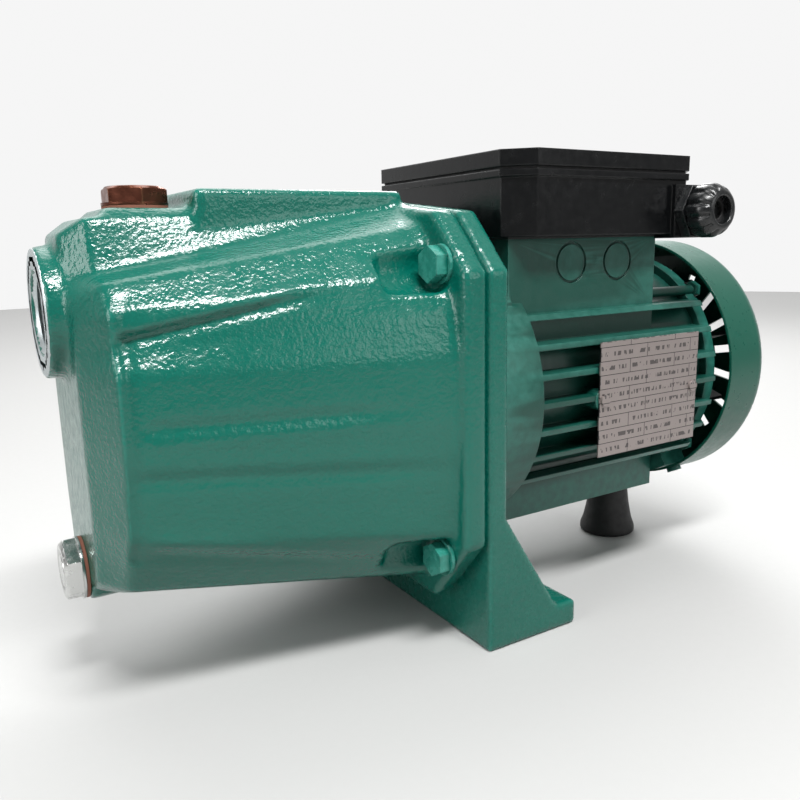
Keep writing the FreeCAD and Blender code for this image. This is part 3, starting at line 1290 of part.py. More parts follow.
def lid_screw_places():
    return [("%s + %d * ( 0.5 * box_length - lid_boss_inset_x )" % (box_middle(), ahead),
             "%d * ( box_half_width - lid_boss_inset_y )" % side) for ahead, side in CORNERS]


def make_box():
    """Terminal box base, lid, gaskets and screws."""
    floor = level("box_floor_level")
    rim = lid_level() + " - lid_gasket"
    shell = prism("box_shell", "Z", (box_middle(), "0", floor), box_outline("lid_overhang"),
                  "( %s ) - box_floor_level" % rim)
    hollow = prism("box_hollow", "Z", (box_middle(), "0", level("box_floor_level + box_floor")),
                   box_outline("( lid_overhang + box_wall )"), "box_height")
    lip = prism("box_lip", "Z", (box_middle(), "0", level(rim + " - 3")), box_outline("0"), "3")
    lip_hollow = prism("box_lip_hollow", "Z", (box_middle(), "0", level(rim + " - 4")),
                       box_outline("( lid_overhang + box_wall )"), "5")
    posts = [rod("lid_post_%d" % index, "Z", (x, y, floor), "lid_boss_radius", "( %s ) - box_floor_level" % rim)
             for index, (x, y) in enumerate(lid_screw_places())]
    pad = block("gland_pad", (station("gland_setback - gland_pad_half_width"), "-box_half_width - gland_pad_reach",
                              level("gland_level - gland_pad_half_width")),
                ("box_start + box_length - gland_setback + gland_pad_half_width - lid_overhang", "gland_pad_depth",
                 "2 * gland_pad_half_width"))
    base = fuse("box_base_blank", [cut("box_tray", shell, [hollow]), cut("box_lip_ring", lip, [lip_hollow]), pad])
    solid = fuse("box_base_solid", [base] + posts)
    drills = [
        rod("box_lead_hole", "Z", (station("pedestal_start + 0.25 * pedestal_length"), "0", level("box_floor_level - 1")),
            "lead_hole_radius + 2", "box_floor + 2"),
        rod("gland_hole", "Y", (station("gland_setback"), "-box_half_width - gland_pad_reach - 1", level("gland_level")),
            "gland_thread_radius + fit", "gland_pad_depth + 8"),
    ]
    for index, (x, y) in enumerate(base_screw_places()):
        drills.append(rod("box_floor_hole_%d" % index, "Z", (x, y, level("box_floor_level - 1")),
                          "base_screw_radius + screw_clearance", "box_floor + 2"))
    for index, (x, y) in enumerate(lid_screw_places()):
        drills.append(rod("lid_post_hole_%d" % index, "Z", (x, y, level(rim + " - 14")),
                          "lid_screw_radius + fit", "15"))
    subpart("terminal_box_base", cut("terminal_box_base", solid, drills))

    gasket = prism("box_gasket_sheet", "Z", (station("pedestal_start + 0.5 * pedestal_length"), "0",
                                             level("box_floor_level - box_gasket")),
                   [("0.5 * pedestal_length", "pedestal_half_width"), ("-0.5 * pedestal_length", "pedestal_half_width"),
                    ("-0.5 * pedestal_length", "-pedestal_half_width"),
                    ("0.5 * pedestal_length", "-pedestal_half_width")], "box_gasket")
    gasket_window = block("box_gasket_window",
                          (station("pedestal_start + pedestal_wall"), "pedestal_wall - pedestal_half_width",
                           level("box_floor_level - 3")),
                          ("pedestal_length - 2 * pedestal_wall", "2 * ( pedestal_half_width - pedestal_wall )", "6"))
    gasket_tools = [gasket_window]
    for index, (x, y) in enumerate(base_screw_places()):
        gasket_tools.append(rod("gasket_hole_%d" % index, "Z", (x, y, level("box_floor_level - 3")),
                                "base_screw_radius + screw_clearance", "6"))
    subpart("box_base_gasket", cut("box_base_gasket", gasket, gasket_tools))

    base_screws = []
    for index, (x, y) in enumerate(base_screw_places()):
        head = rod("base_screw_head_%d" % index, "Z", (x, y, level("box_floor_level + box_floor")),
                   "base_screw_head_radius", "base_screw_head_height")
        stem = rod("base_screw_stem_%d" % index, "Z", (x, y, level("box_floor_level - 10")), "base_screw_radius",
                   "box_floor + 11")
        base_screws.append(fuse("base_screw_%d" % index, [head, stem]))
    subpart("box_base_screws", group("box_base_screws", base_screws))


def make_lid():
    """Lift-off lid: a shallow tray over the rim, its gasket and its corner screws."""
    bottom = lid_level()
    plate = prism("lid_plate", "Z", (box_middle(), "0", level(bottom)), box_outline("0"), "lid_thickness")
    under = prism("lid_under", "Z", (box_middle(), "0", level(bottom + " - 1")),
                  box_outline("( lid_overhang + box_wall )"), "lid_thickness - lid_wall + 1")
    posts = [rod("lid_pillar_%d" % index, "Z", (x, y, level(bottom)), "lid_boss_radius", "lid_thickness - 1")
             for index, (x, y) in enumerate(lid_screw_places())]
    solid = fuse("lid_solid", [cut("lid_tray", plate, [under])] + posts)
    drills = []
    for index, (x, y) in enumerate(lid_screw_places()):
        drills.append(rod("lid_hole_%d" % index, "Z", (x, y, level(bottom + " - 1")),
                          "lid_screw_radius + screw_clearance", "lid_thickness + 2"))
        drills.append(rod("lid_sink_%d" % index, "Z",
                          (x, y, level("box_floor_level + box_height - lid_screw_head_height - 0.4")),
                          "lid_screw_head_radius + screw_clearance", "lid_screw_head_height + 2"))
    subpart("terminal_box_lid", cut("terminal_box_lid", solid, drills))

    rim = lid_level() + " - lid_gasket"
    gasket = prism("lid_gasket_sheet", "Z", (box_middle(), "0", level(rim)), box_outline("( lid_overhang + 0.4 )"),
                   "lid_gasket")
    window = prism("lid_gasket_window", "Z", (box_middle(), "0", level(rim + " - 1")),
                   box_outline("( lid_overhang + box_wall - 0.4 )"), "lid_gasket + 2")
    subpart("lid_gasket", cut("lid_gasket", gasket, [window]))

    screws = []
    for index, (x, y) in enumerate(lid_screw_places()):
        head = rod("lid_screw_head_%d" % index, "Z",
                   (x, y, level("box_floor_level + box_height - lid_screw_head_height - 0.4")),
                   "lid_screw_head_radius", "lid_screw_head_height")
        stem = rod("lid_screw_stem_%d" % index, "Z", (x, y, level(rim + " - 12")), "lid_screw_radius",
                   "lid_thickness + lid_gasket + 12 - lid_screw_head_height")
        slot = block("lid_screw_slot_%d" % index,
                     (x + " - 0.5", y + " - 5", level("box_floor_level + box_height - 1.4")), ("1", "10", "3"))
        screws.append(cut("lid_screw_%d" % index, fuse("lid_screw_blank_%d" % index, [head, stem]), [slot]))
    subpart("lid_screws", group("lid_screws", screws))


def make_electrics():
    """Terminal block with its screws, and the run capacitor with its strap."""
    floor = "box_floor_level + box_floor"
    start = "box_start + 0.5 * box_length - 5"
    block_y = "-block_offset"
    body = block("terminal_block_body", (station(start), block_y, level(floor)),
                 ("block_length", "block_width", "block_height"))
    wells = []
    screws = []
    for index in range(4):
        x = station(start + " + 0.5 * block_length + %s * block_screw_pitch" % (index - 1.5))
        y = block_y + " + 0.5 * block_width"
        wells.append(rod("block_well_%d" % index, "Z", (x, y, level(floor + " + block_height - 6")),
                         "block_screw_radius + 0.6", "7"))
        screws.append(rod("block_screw_%d" % index, "Z", (x, y, level(floor + " + block_height - 6")),
                          "block_screw_radius", "4.5"))
    subpart("terminal_block", cut("terminal_block", body, wells))
    subpart("terminal_screws", group("terminal_screws", screws))
    centre_y = "box_half_width - box_wall - lid_overhang - capacitor_radius - 10"
    centre_z = floor + " + capacitor_radius + capacitor_strap + fit"
    cap_start = "box_start + 0.5 * box_length - 0.5 * capacitor_length"
    subpart("capacitor", rod("capacitor", "X", (station(cap_start), centre_y, level(centre_z)), "capacitor_radius",
                             "capacitor_length"))
    middle = cap_start + " + 0.5 * capacitor_length - 0.5 * strap_width"
    band = tube("strap_band", "X", (station(middle), centre_y, level(centre_z)),
                "capacitor_radius + fit + capacitor_strap", "capacitor_radius + fit", "strap_width")
    subpart("capacitor_strap", band)


def make_gland():
    """Cable gland on the -Y side of the box: body, seal and nut."""
    def at(out):
        return (station("gland_setback"), "-box_half_width - gland_pad_reach - ( %s )" % out, level("gland_level"))
    flats = hexagon("gland_hex", "Y", at("gland_flange_thickness"), "gland_flats", "gland_flange_thickness")
    barrel = rod("gland_barrel", "Y", at("gland_flange_thickness + gland_barrel_length"), "gland_barrel_radius",
                 "gland_barrel_length + 1")
    shank = rod("gland_shank", "Y", at("1"), "gland_thread_radius", "gland_shank_length + 1")
    bore = rod("gland_bore", "Y", at("30"), "gland_bore_radius + 1", "50")
    subpart("gland_body", cut("gland_body", fuse("gland_blank", [flats, barrel, shank]), [bore]))
    subpart("gland_seal", tube("gland_seal", "Y", at("gland_flange_thickness + gland_barrel_length"),
                               "gland_bore_radius + 1 - fit", "gland_seal_radius", "gland_barrel_length"))
    gap = "gland_flange_thickness + 0.4"
    nut = turned("gland_nut_turned", "Y", at(gap + " + gland_nut_length"), [
        ("0", "gland_bore_radius"),
        ("0", "gland_nut_radius - 2.5"),
        ("2.5", "gland_nut_radius"),
        ("gland_nut_length", "gland_nut_radius"),
        ("gland_nut_length", "gland_barrel_radius + running_gap"),
        ("gland_nut_length - gland_barrel_length - 0.3", "gland_barrel_radius + running_gap"),
        ("gland_nut_length - gland_barrel_length - 0.3", "gland_bore_radius"),
    ])
    flutes = []
    for index in range(12):
        angle = 2 * math.pi * index / 12
        flutes.append(rod("gland_flute_%d" % index, "Y",
                          (station("gland_setback + %.6f * ( gland_nut_radius + 1.1 )" % math.cos(angle)),
                           at(gap + " + gland_nut_length - 3")[1],
                           level("gland_level + %.6f * ( gland_nut_radius + 1.1 )" % math.sin(angle))),
                          "2", "gland_nut_length"))
    subpart("gland_nut", cut("gland_nut", nut, flutes))


def check_and_write():
    """Recompute, stop on any failed object, and write one file for each piece."""
    doc.recompute()
    failed = [obj.Label for obj in doc.Objects if "Invalid" in obj.State or "Error" in obj.State]
    for obj in subparts:
        if obj.Shape.isNull() or not obj.Shape.isValid():
            failed.append(obj.Label)
    if failed:
        raise RuntimeError("failed objects: " + ", ".join(failed))
    os.makedirs("parts", exist_ok=True)
    for obj in subparts:
        obj.Shape.exportStep(os.path.join("parts", obj.Label + ".step"))
        print("%-24s %3d solid(s) %12.1f mm3" % (obj.Label, len(obj.Shape.Solids), obj.Shape.Volume))


make_casing()
make_plugs()
make_casing_fasteners()
make_bracket()
make_ejector()
make_diffuser()
make_impeller()
make_shaft()
make_seal()
make_bearing("front_bearing", "front_bearing_start")
make_bearing("rear_bearing", "rear_bearing_start")
make_frame()
make_stator()
make_rotor()
make_rear_shield()
make_tie_bolts()
make_fan()
make_cover()
make_rubber_foot()
make_nameplate()
make_box()
make_lid()
make_electrics()
make_gland()
check_and_write()
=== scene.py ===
import math

import bmesh
import bpy
import numpy as np
from mathutils import Matrix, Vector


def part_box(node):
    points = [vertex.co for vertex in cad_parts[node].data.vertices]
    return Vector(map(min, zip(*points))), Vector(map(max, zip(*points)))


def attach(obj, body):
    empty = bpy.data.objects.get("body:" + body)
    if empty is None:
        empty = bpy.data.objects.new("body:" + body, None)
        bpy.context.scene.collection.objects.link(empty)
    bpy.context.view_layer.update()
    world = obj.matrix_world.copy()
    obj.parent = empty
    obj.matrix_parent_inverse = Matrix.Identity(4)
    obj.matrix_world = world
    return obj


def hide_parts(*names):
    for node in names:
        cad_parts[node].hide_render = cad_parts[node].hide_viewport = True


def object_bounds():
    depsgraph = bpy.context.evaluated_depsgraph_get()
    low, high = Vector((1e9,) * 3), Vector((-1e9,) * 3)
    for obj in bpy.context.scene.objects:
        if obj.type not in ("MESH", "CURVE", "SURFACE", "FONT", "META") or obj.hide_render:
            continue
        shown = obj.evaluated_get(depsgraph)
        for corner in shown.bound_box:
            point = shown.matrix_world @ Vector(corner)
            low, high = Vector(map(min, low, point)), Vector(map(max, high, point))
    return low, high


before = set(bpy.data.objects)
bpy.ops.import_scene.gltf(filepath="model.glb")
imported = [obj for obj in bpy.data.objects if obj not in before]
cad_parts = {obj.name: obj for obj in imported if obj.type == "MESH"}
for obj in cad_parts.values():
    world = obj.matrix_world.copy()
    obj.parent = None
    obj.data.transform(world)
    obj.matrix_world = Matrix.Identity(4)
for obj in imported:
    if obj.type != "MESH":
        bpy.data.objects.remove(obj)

bl_info = {
    "name": "Shallow Well Jet Pump",
    "version": (1, 0, 0),
    "blender": (4, 5, 0),
    "location": "View3D > Sidebar > Jet Pump",
    "description": "Surfaces, finishes and studio for a close-coupled shallow well jet pump",
    "category": "Object",
}

CAD_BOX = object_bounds()
MM = 0.001
SHAFT = 0.104  # height of the shaft above the base
HEX_FLATS = 0.022  # across the flats of both plugs
THREAD_CREST, THREAD_ROOT = 0.0143, 0.0149  # radii of the port threads as they show

# each port's rim: name, middle of its mouth, axis, outer radius, depth of thread, which way it faces
PORTS = (
    ("suction_rim", (-0.184, 0.0, SHAFT + 0.0478), "x", 0.0238, 0.013, -1),
    ("delivery_rim", (-0.086, 0.0, SHAFT + 0.0925), "z", 0.0195, 0.019, 1),
)

# bores opened in the bracket's skin, front bearing seat last: start, end and radius
BRACKET_BORES = ((-0.0055, -0.0020, 0.0130), (-0.0020, 0.0098, 0.0176))

FLOOR_RADIUS, FLOOR_GAP = 2.3, 0.0002  # the floor's disc, and how far it lies under the base

# name, place, point that it faces, width, depth and watts
LAMPS = (
    ("overhead strip", (-0.10, -0.52, 1.00), (-0.10, 0.0, 0.14), 0.55, 0.14, 17.0),
    ("left window", (-1.10, -0.15, 0.55), (-0.12, 0.0, 0.11), 0.45, 0.7, 6.0),
    ("front fill", (0.55, -1.30, 0.60), (0.05, 0.0, 0.10), 0.8, 0.5, 3.0),
    ("back rim", (0.70, 0.80, 0.80), (0.05, 0.0, 0.12), 0.6, 0.4, 8.0),
    ("far wash", (0.9, 1.6, 1.9), (0.9, 1.61, 0.0), 3.0, 2.4, 52.0),
)

LENS, FILM = 34.56, 36.0  # the camera's focal length and film width in millimetres
CAMERA_AT = (-0.2193, -0.3155, 0.1750)
CAMERA_TURN = (0.549, -0.203, -0.022)  # its yaw, pitch and roll in radians


# ---------------------------------------------------------------- sizes and colours

class JetPumpSizes(bpy.types.PropertyGroup):
    """The sizes that a user would change"""
    cast_voxel: bpy.props.FloatProperty(
        name="Casting grid", description="Grid on which the sand castings are rounded",
        default=1.7 * MM, unit="LENGTH", precision=5)
    cast_passes: bpy.props.IntProperty(
        name="Casting rounding", description="How many times the castings' edges are relaxed", default=7)
    thread_pitch: bpy.props.FloatProperty(
        name="Port thread pitch", description="Pitch of the thread in the two ports",
        default=2.31 * MM, unit="LENGTH", precision=5)
    edge_break: bpy.props.FloatProperty(
        name="Edge break", description="Radius that light sees on a machined or moulded edge",
        default=0.7 * MM, unit="LENGTH", precision=5)


class JetPumpColours(bpy.types.PropertyGroup):
    """The colours that a user would change"""
    enamel: bpy.props.StringProperty(
        name="Casting enamel", description="Green of the pump head, sRGB", default="#01574a")
    motor_enamel: bpy.props.StringProperty(
        name="Motor enamel", description="Green of the motor, sRGB", default="#053c32")
    cover_enamel: bpy.props.StringProperty(
        name="Cover enamel", description="Green of the fan cover, sRGB", default="#064a3b")
    box_plastic: bpy.props.StringProperty(
        name="Box plastic", description="Black of the terminal box, sRGB", default="#08090a")
    plug_brass: bpy.props.StringProperty(
        name="Filler plug", description="Browned brass of the filler plug, sRGB", default="#6f4335")
    plate: bpy.props.StringProperty(
        name="Rating plate", description="Aluminium of the rating plate, sRGB", default="#8f8683")


# ---------------------------------------------------------------- node helpers

def linear(code):
    """An sRGB hex colour as linear RGBA."""
    parts = [int(code[i:i + 2], 16) / 255 for i in (1, 3, 5)]
    return tuple(c / 12.92 if c <= 0.04045 else ((c + 0.055) / 1.055) ** 2.4 for c in parts) + (1.0,)


def add(tree, kind, sockets=None, **settings):
    """Adds a node, sets its properties, and fills or links its sockets."""
    node = tree.nodes.new(kind)
    for name, value in settings.items():
        setattr(node, name, value)
    for name, value in (sockets or {}).items():
        if isinstance(value, bpy.types.NodeSocket):
            tree.links.new(value, node.inputs[name])
        else:
            node.inputs[name].default_value = value
    return node


def shades(code, spread):
    """A colour a little darker and a little lighter, for the drift of a real finish."""
    base = linear(code)
    return (tuple(c * (1 - spread) for c in base[:3]) + (1.0,),
            tuple(min(1.0, c * (1 + spread)) for c in base[:3]) + (1.0,))


def surface(name, code, metallic, rough, grains, spread=0.12, drift=35.0, edge=0.7, ior=None,
            stretch=(1.0, 1.0, 1.0), wear_and_edge_highlight=None):
    """A material with drifting colour and roughness, a relief of (size, depth) grains in millimetres
    and softened edges. The last argument, if given, is the colour mixed onto convex edges: bright metal where
    brass rubs through, and a painted edge highlight on the enamels."""
    material = bpy.data.materials.new(name)
    material.use_nodes = True
    tree = material.node_tree
    shader = tree.nodes["Principled BSDF"]
    shader.inputs["Metallic"].default_value = metallic
    if ior:
        shader.inputs["IOR"].default_value = ior
    place = add(tree, "ShaderNodeTexCoord").outputs["Object"]
    if stretch != (1.0, 1.0, 1.0):
        place = add(tree, "ShaderNodeMapping", {"Vector": place, "Scale": stretch}).outputs["Vector"]
    cloud = add(tree, "ShaderNodeTexNoise", {"Vector": place, "Scale": 1000.0 / drift, "Detail": 4.0})
    fine = add(tree, "ShaderNodeTexNoise", {"Vector": place, "Scale": 1000.0 / 4.0, "Detail": 3.0})
    low, high = shades(code, spread)
    colour = add(tree, "ShaderNodeMix", {"Factor": cloud.outputs["Fac"]}, data_type="RGBA")
    colour.inputs[6].default_value, colour.inputs[7].default_value = low, high
    colour = colour.outputs[2]
    roughness = add(tree, "ShaderNodeMapRange", {
        "Value": fine.outputs["Fac"], "From Min": 0.3, "From Max": 0.7, "To Min": rough[0],
        "To Max": rough[1]})
    roughness = roughness.outputs["Result"]
    normal = add(tree, "ShaderNodeBevel", {"Radius": edge * MM}, samples=4).outputs["Normal"]
    for size, depth in grains:
        noise = add(tree, "ShaderNodeTexNoise", {"Vector": place, "Scale": 1000.0 / size, "Detail": 2.0})
        normal = add(tree, "ShaderNodeBump", {
            "Height": noise.outputs["Fac"], "Distance": depth * MM, "Normal": normal}).outputs["Normal"]
    # convex edges, found by pointiness, take the edge colour: rubbed metal on the brass, a painted edge
    # highlight on the enamels
    if wear_and_edge_highlight:
        wear_and_highlight_edges = add(tree, "ShaderNodeMapRange", {
            "Value": add(tree, "ShaderNodeNewGeometry").outputs["Pointiness"],
            "From Min": 0.53, "From Max": 0.60, "To Min": 0.0, "To Max": 0.55})
        wear_and_highlight_patch = add(tree, "ShaderNodeMath", {0: wear_and_highlight_edges.outputs["Result"], 1: fine.outputs["Fac"]},
                    operation="MULTIPLY").outputs["Value"]
        shown = add(tree, "ShaderNodeMix", {"Factor": wear_and_highlight_patch}, data_type="RGBA")
        tree.links.new(colour, shown.inputs[6])
        shown.inputs[7].default_value = linear(wear_and_edge_highlight)
        colour = shown.outputs[2]
    tree.links.new(colour, shader.inputs["Base Color"])
    tree.links.new(roughness, shader.inputs["Roughness"])
    tree.links.new(normal, shader.inputs["Normal"])
    return material


def printed_plate(code, centre, length, height):
    """Matt aluminium, screen printed with a ruled table whose cells hold plain unreadable dashes."""
    material = surface("Screen printed aluminium", code, 0.55, (0.34, 0.46), [(0.5, 0.01)], 0.06, 20.0, 0.3)
    tree = material.node_tree
    shader = tree.nodes["Principled BSDF"]
    ground = shader.inputs["Base Color"].links[0].from_socket
    place = add(tree, "ShaderNodeMapping", {
        "Vector": add(tree, "ShaderNodeTexCoord").outputs["Object"],
        "Location": (-centre[0] + length / 2, 0.0, -centre[2] + height / 2)}).outputs["Vector"]
    split = add(tree, "ShaderNodeSeparateXYZ", {0: place})
    flat = add(tree, "ShaderNodeCombineXYZ", {0: split.outputs["X"], 1: split.outputs["Z"]}).outputs[0]
    # cells 31 mm long and 6.5 mm tall, ruled 0.3 mm wide
    ruled = add(tree, "ShaderNodeTexBrick", {
        "Vector": flat, "Scale": 1.0, "Brick Width": 31 * MM, "Row Height": 6.5 * MM,
        "Mortar Size": 0.16 * MM,
        "Mortar Smooth": 0.0}, offset=0.37, squash=1.0).outputs["Fac"]
    # dashes cut from noise of 1.6 mm, in one band 2 mm tall in each row
    dash = add(tree, "ShaderNodeTexNoise", {
        "Vector": add(tree, "ShaderNodeMapping", {"Vector": flat, "Scale": (1.0, 0.22,
                                                                            1.0)}).outputs["Vector"],
        "Scale": 620.0, "Detail": 1.0}).outputs["Fac"]
    dash = add(tree, "ShaderNodeMath", {0: dash, 1: 0.53}, operation="GREATER_THAN").outputs[0]
    band = add(tree, "ShaderNodeMath", {0: split.outputs["Z"], 1: 6.5 * MM}, operation="PINGPONG").outputs[0]
    band = add(tree, "ShaderNodeMath", {0: band, 1: 3.25 * MM, 2: 1.0 * MM}, operation="COMPARE").outputs[0]
    ink = add(tree, "ShaderNodeMath", {0: dash, 1: band}, operation="MULTIPLY").outputs[0]
    ink = add(tree, "ShaderNodeMath", {0: ink, 1: 0.75}, operation="MULTIPLY").outputs[0]
    ink = add(tree, "ShaderNodeMath", {0: ink, 1: ruled}, operation="MAXIMUM").outputs[0]
    shown = add(tree, "ShaderNodeMix", {"Factor": ink}, data_type="RGBA")
    tree.links.new(ground, shown.inputs[6])
    shown.inputs[7].default_value = linear("#2c2b2c")
    tree.links.new(shown.outputs[2], shader.inputs["Base Color"])
    return material


FINISHES = {}


def make_finishes(sizes, colours):
    """Every finish on the pump, one material for each."""
    edge = sizes.edge_break / MM
    lo, hi = (np.array(v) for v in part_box("nameplate"))
    made = {
        # sprayed enamel on sand-cast iron: glossy, with the sand's grain showing as glints, and a lighter
        # green painted on convex edges as a painted edge highlight
        "cast_enamel": surface("Enamel on sand cast iron", colours.enamel, 0.0, (0.14, 0.26),
                               [(5.0, 0.22), (1.6, 0.30)], 0.10, 45.0, 0.8, ior=1.52, wear_and_edge_highlight="#3a9b8b"),
        "bracket_enamel": surface("Enamel on ribbed cast iron", colours.enamel, 0.0, (0.20, 0.34),
                                  [(4.0, 0.22), (1.5, 0.18)], 0.14, 40.0, 0.8, ior=1.52, wear_and_edge_highlight="#4fae9f"),
        # the same enamel on die-cast aluminium: flatter and a little duller, with a lighter green painted on
        # convex edges as a painted edge highlight
        "motor_enamel": surface("Enamel on die cast aluminium", colours.motor_enamel, 0.0, (0.30, 0.44),
                                [(3.0, 0.08), (0.9, 0.03)], 0.16, 40.0, edge, ior=1.5, wear_and_edge_highlight="#3d8c7e"),
        "cover_enamel": surface("Enamel on pressed steel", colours.cover_enamel, 0.0, (0.26, 0.38),
                                [(6.0, 0.05), (1.2, 0.02)], 0.10, 60.0, 0.8, ior=1.5),
        # moulded glass-filled nylon: black with a satin spark texture
        "box_plastic": surface("Moulded black nylon", colours.box_plastic, 0.0, (0.15, 0.28),
                               [(1.1, 0.04), (12.0, 0.10)], 0.25, 30.0, 1.0, ior=1.42),
        "gland_plastic": surface("Moulded black polyamide", "#0e1011", 0.0, (0.22, 0.34),
                                 [(0.9, 0.02)], 0.25, 20.0, 0.5, ior=1.53),
        # moulded rubber: black with almost no gloss
        "rubber": surface("Moulded black rubber", "#121213", 0.0, (0.55, 0.72), [(0.8, 0.04)], 0.25,
                          15.0, 0.6,
                          ior=1.52),
        # cast brass browned by air: dark, brighter where edges rub
        "brass": surface("Browned brass", colours.plug_brass, 1.0, (0.24, 0.42), [(1.5, 0.04)], 0.35,
                         5.0, 0.4,
                         wear_and_edge_highlight="#c79a73"),
        # zinc plating: pale and bright
        "steel": surface("Zinc plated steel", "#c9cac8", 1.0, (0.16, 0.30), [(0.8, 0.015)], 0.10, 8.0, 0.4),
        # iron cut in a lathe: pale grey and satin
        "machined": surface("Machined cast iron", "#b9c1c2", 0.85, (0.34, 0.48), [(0.6, 0.03)], 0.10,
                            9.0, 0.3),
        # turned stainless steel: fine rings about the shaft
        "stainless": surface("Turned stainless steel", "#b7b6b2", 1.0, (0.18, 0.30), [(0.5, 0.01)],
                             0.05, 12.0,
                             0.3, stretch=(12.0, 1.0, 1.0)),
        # ground and hardened steel: close to a mirror
        "bearing": surface("Ground bearing steel", "#c2c3c5", 1.0, (0.08, 0.16), [(0.5, 0.003)], 0.04,
                           9.0, 0.2),
        # edges of stacked sheet: dull fine lines
        "laminated": surface("Laminated electrical steel", "#5d5f62", 0.9, (0.38, 0.55), [(0.5, 0.05)],
                             0.2, 6.0,
                             0.2, stretch=(20.0, 1.0, 1.0)),
        # unpainted castings: pale and dull
        "aluminium": surface("Cast aluminium", "#b4b5b4", 0.95, (0.36, 0.5), [(1.6, 0.05)], 0.08, 12.0, 0.4),
        # varnished wire: warm and rounded
        "copper": surface("Varnished copper winding", "#9b4a22", 0.85, (0.28, 0.4), [(0.9, 0.25)], 0.2,
                          6.0, 0.4),
        # moulded water parts: dark satin
        "nylon": surface("Moulded hydraulic plastic", "#24272a", 0.0, (0.36, 0.5), [(1.0, 0.03)], 0.2,
                         15.0, 0.5,
                         ior=1.5),
        # moulded polypropylene: dull black
        "fan_plastic": surface("Moulded polypropylene", "#1b1e1f", 0.0, (0.4, 0.52), [(1.0, 0.03)], 0.2, 15.0,
                               0.5, ior=1.49),
        # pressed fibre: dry and brown
        "fibre": surface("Pressed sealing fibre", "#7b4b3a", 0.0, (0.7, 0.85), [(0.7, 0.05)], 0.2, 4.0, 0.2),
        # a lapped face: cream and smooth
        "ceramic": surface("Lapped ceramic", "#dcd6c6", 0.0, (0.12, 0.2), [(0.6, 0.005)], 0.04, 8.0, 0.3,
                           ior=1.7),
        # pressed carbon: dull black
        "carbon": surface("Pressed carbon", "#18181a", 0.0, (0.4, 0.55), [(0.6, 0.02)], 0.15, 6.0, 0.3),
        # pressed brass: yellow and bright
        "cage": surface("Pressed brass cage", "#a98a4e", 1.0, (0.25, 0.4), [(0.7, 0.01)], 0.08, 6.0, 0.3),
        # moulded shell: smooth pale grey
        "capacitor": surface("Moulded capacitor shell", "#c9cbc9", 0.0, (0.32, 0.45), [(1.0, 0.02)],
                             0.05, 18.0,
                             0.6, ior=1.49),
        # moulded melamine: cream, slightly glossy
        "block": surface("Moulded melamine", "#d8d2bf", 0.0, (0.4, 0.52), [(0.9, 0.02)], 0.05, 10.0, 0.4,
                         ior=1.5),
        "plate": printed_plate(colours.plate, (lo + hi) / 2, hi[0] - lo[0], hi[2] - lo[2]),
    }
    FINISHES.update(made)


# which finish each carried-over node wears
WORN_BY = {
    "rubber": ["box_base_gasket", "casing_o_ring", "gland_seal", "lid_gasket", "water_slinger"],
    "steel": ["box_base_screws", "capacitor_strap", "foot_screw", "lid_screws"],
    "motor_enamel": ["tie_bolts", "fan_cover_screws"],
    "capacitor": ["capacitor"],
    "nylon": ["diffuser", "ejector_nozzle", "venturi_tube"],
    "fibre": ["drain_plug_washer", "filler_plug_washer"],
    "bearing": ["front_bearing_balls", "front_bearing_inner_ring", "front_bearing_outer_ring",
                "rear_bearing_balls", "rear_bearing_inner_ring", "rear_bearing_outer_ring", "wave_spring"],
    "cage": ["front_bearing_cage", "rear_bearing_cage", "terminal_screws"],
    "stainless": ["impeller", "impeller_key", "impeller_nut", "seal_bellows", "shaft"],
    "plate": ["nameplate", "nameplate_rivets"],
    "laminated": ["rotor_core", "stator_core"],
    "aluminium": ["rotor_end_rings"],
    "carbon": ["seal_head"],
    "ceramic": ["seal_seat"],
    "copper": ["stator_winding"],
    "block": ["terminal_block"],
}


# ---------------------------------------------------------------- surfaces

def keep(name, mesh, finish, body, replaced=(), sharp=32.0):
    """Puts a finished mesh in the scene, shades it, ties it to its body and hides the nodes that it replaces.
    """
    mesh.materials.clear()
    mesh.materials.append(FINISHES[finish])
    mesh.shade_smooth()
    mesh.set_sharp_from_angle(angle=math.radians(sharp))
    piece = bpy.data.objects.new(name, mesh)
    bpy.context.scene.collection.objects.link(piece)
    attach(piece, body)
    if replaced:
        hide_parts(*replaced)
    return piece


def corners(mesh):
    """The mesh's corners, one row each."""
    at = np.empty(len(mesh.vertices) * 3)
    mesh.vertices.foreach_get("co", at)
    return at.reshape(-1, 3)


def outward(name, at, faces):
    """A mesh of those corners and faces, with every face turned outwards."""
    mesh = bpy.data.meshes.new(name)
    mesh.from_pydata(at.tolist(), [], faces)
    work = bmesh.new()
    work.from_mesh(mesh)
    bmesh.ops.recalc_face_normals(work, faces=work.faces)
    work.to_mesh(mesh)
    work.free()
    return mesh


def merged(node):
    """A node's own triangles as one closed mesh: corners closer than a micrometre are joined."""
    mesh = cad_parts[node].data.copy()
    work = bmesh.new()
    work.from_mesh(mesh)
    bmesh.ops.remove_doubles(work, verts=work.verts, dist=0.001 * MM)
    work.to_mesh(mesh)
    work.free()
    for kept in ("custom_normal", "sharp_edge", "sharp_face"):
        if kept in mesh.attributes:
            mesh.attributes.remove(mesh.attributes[kept])
    return mesh


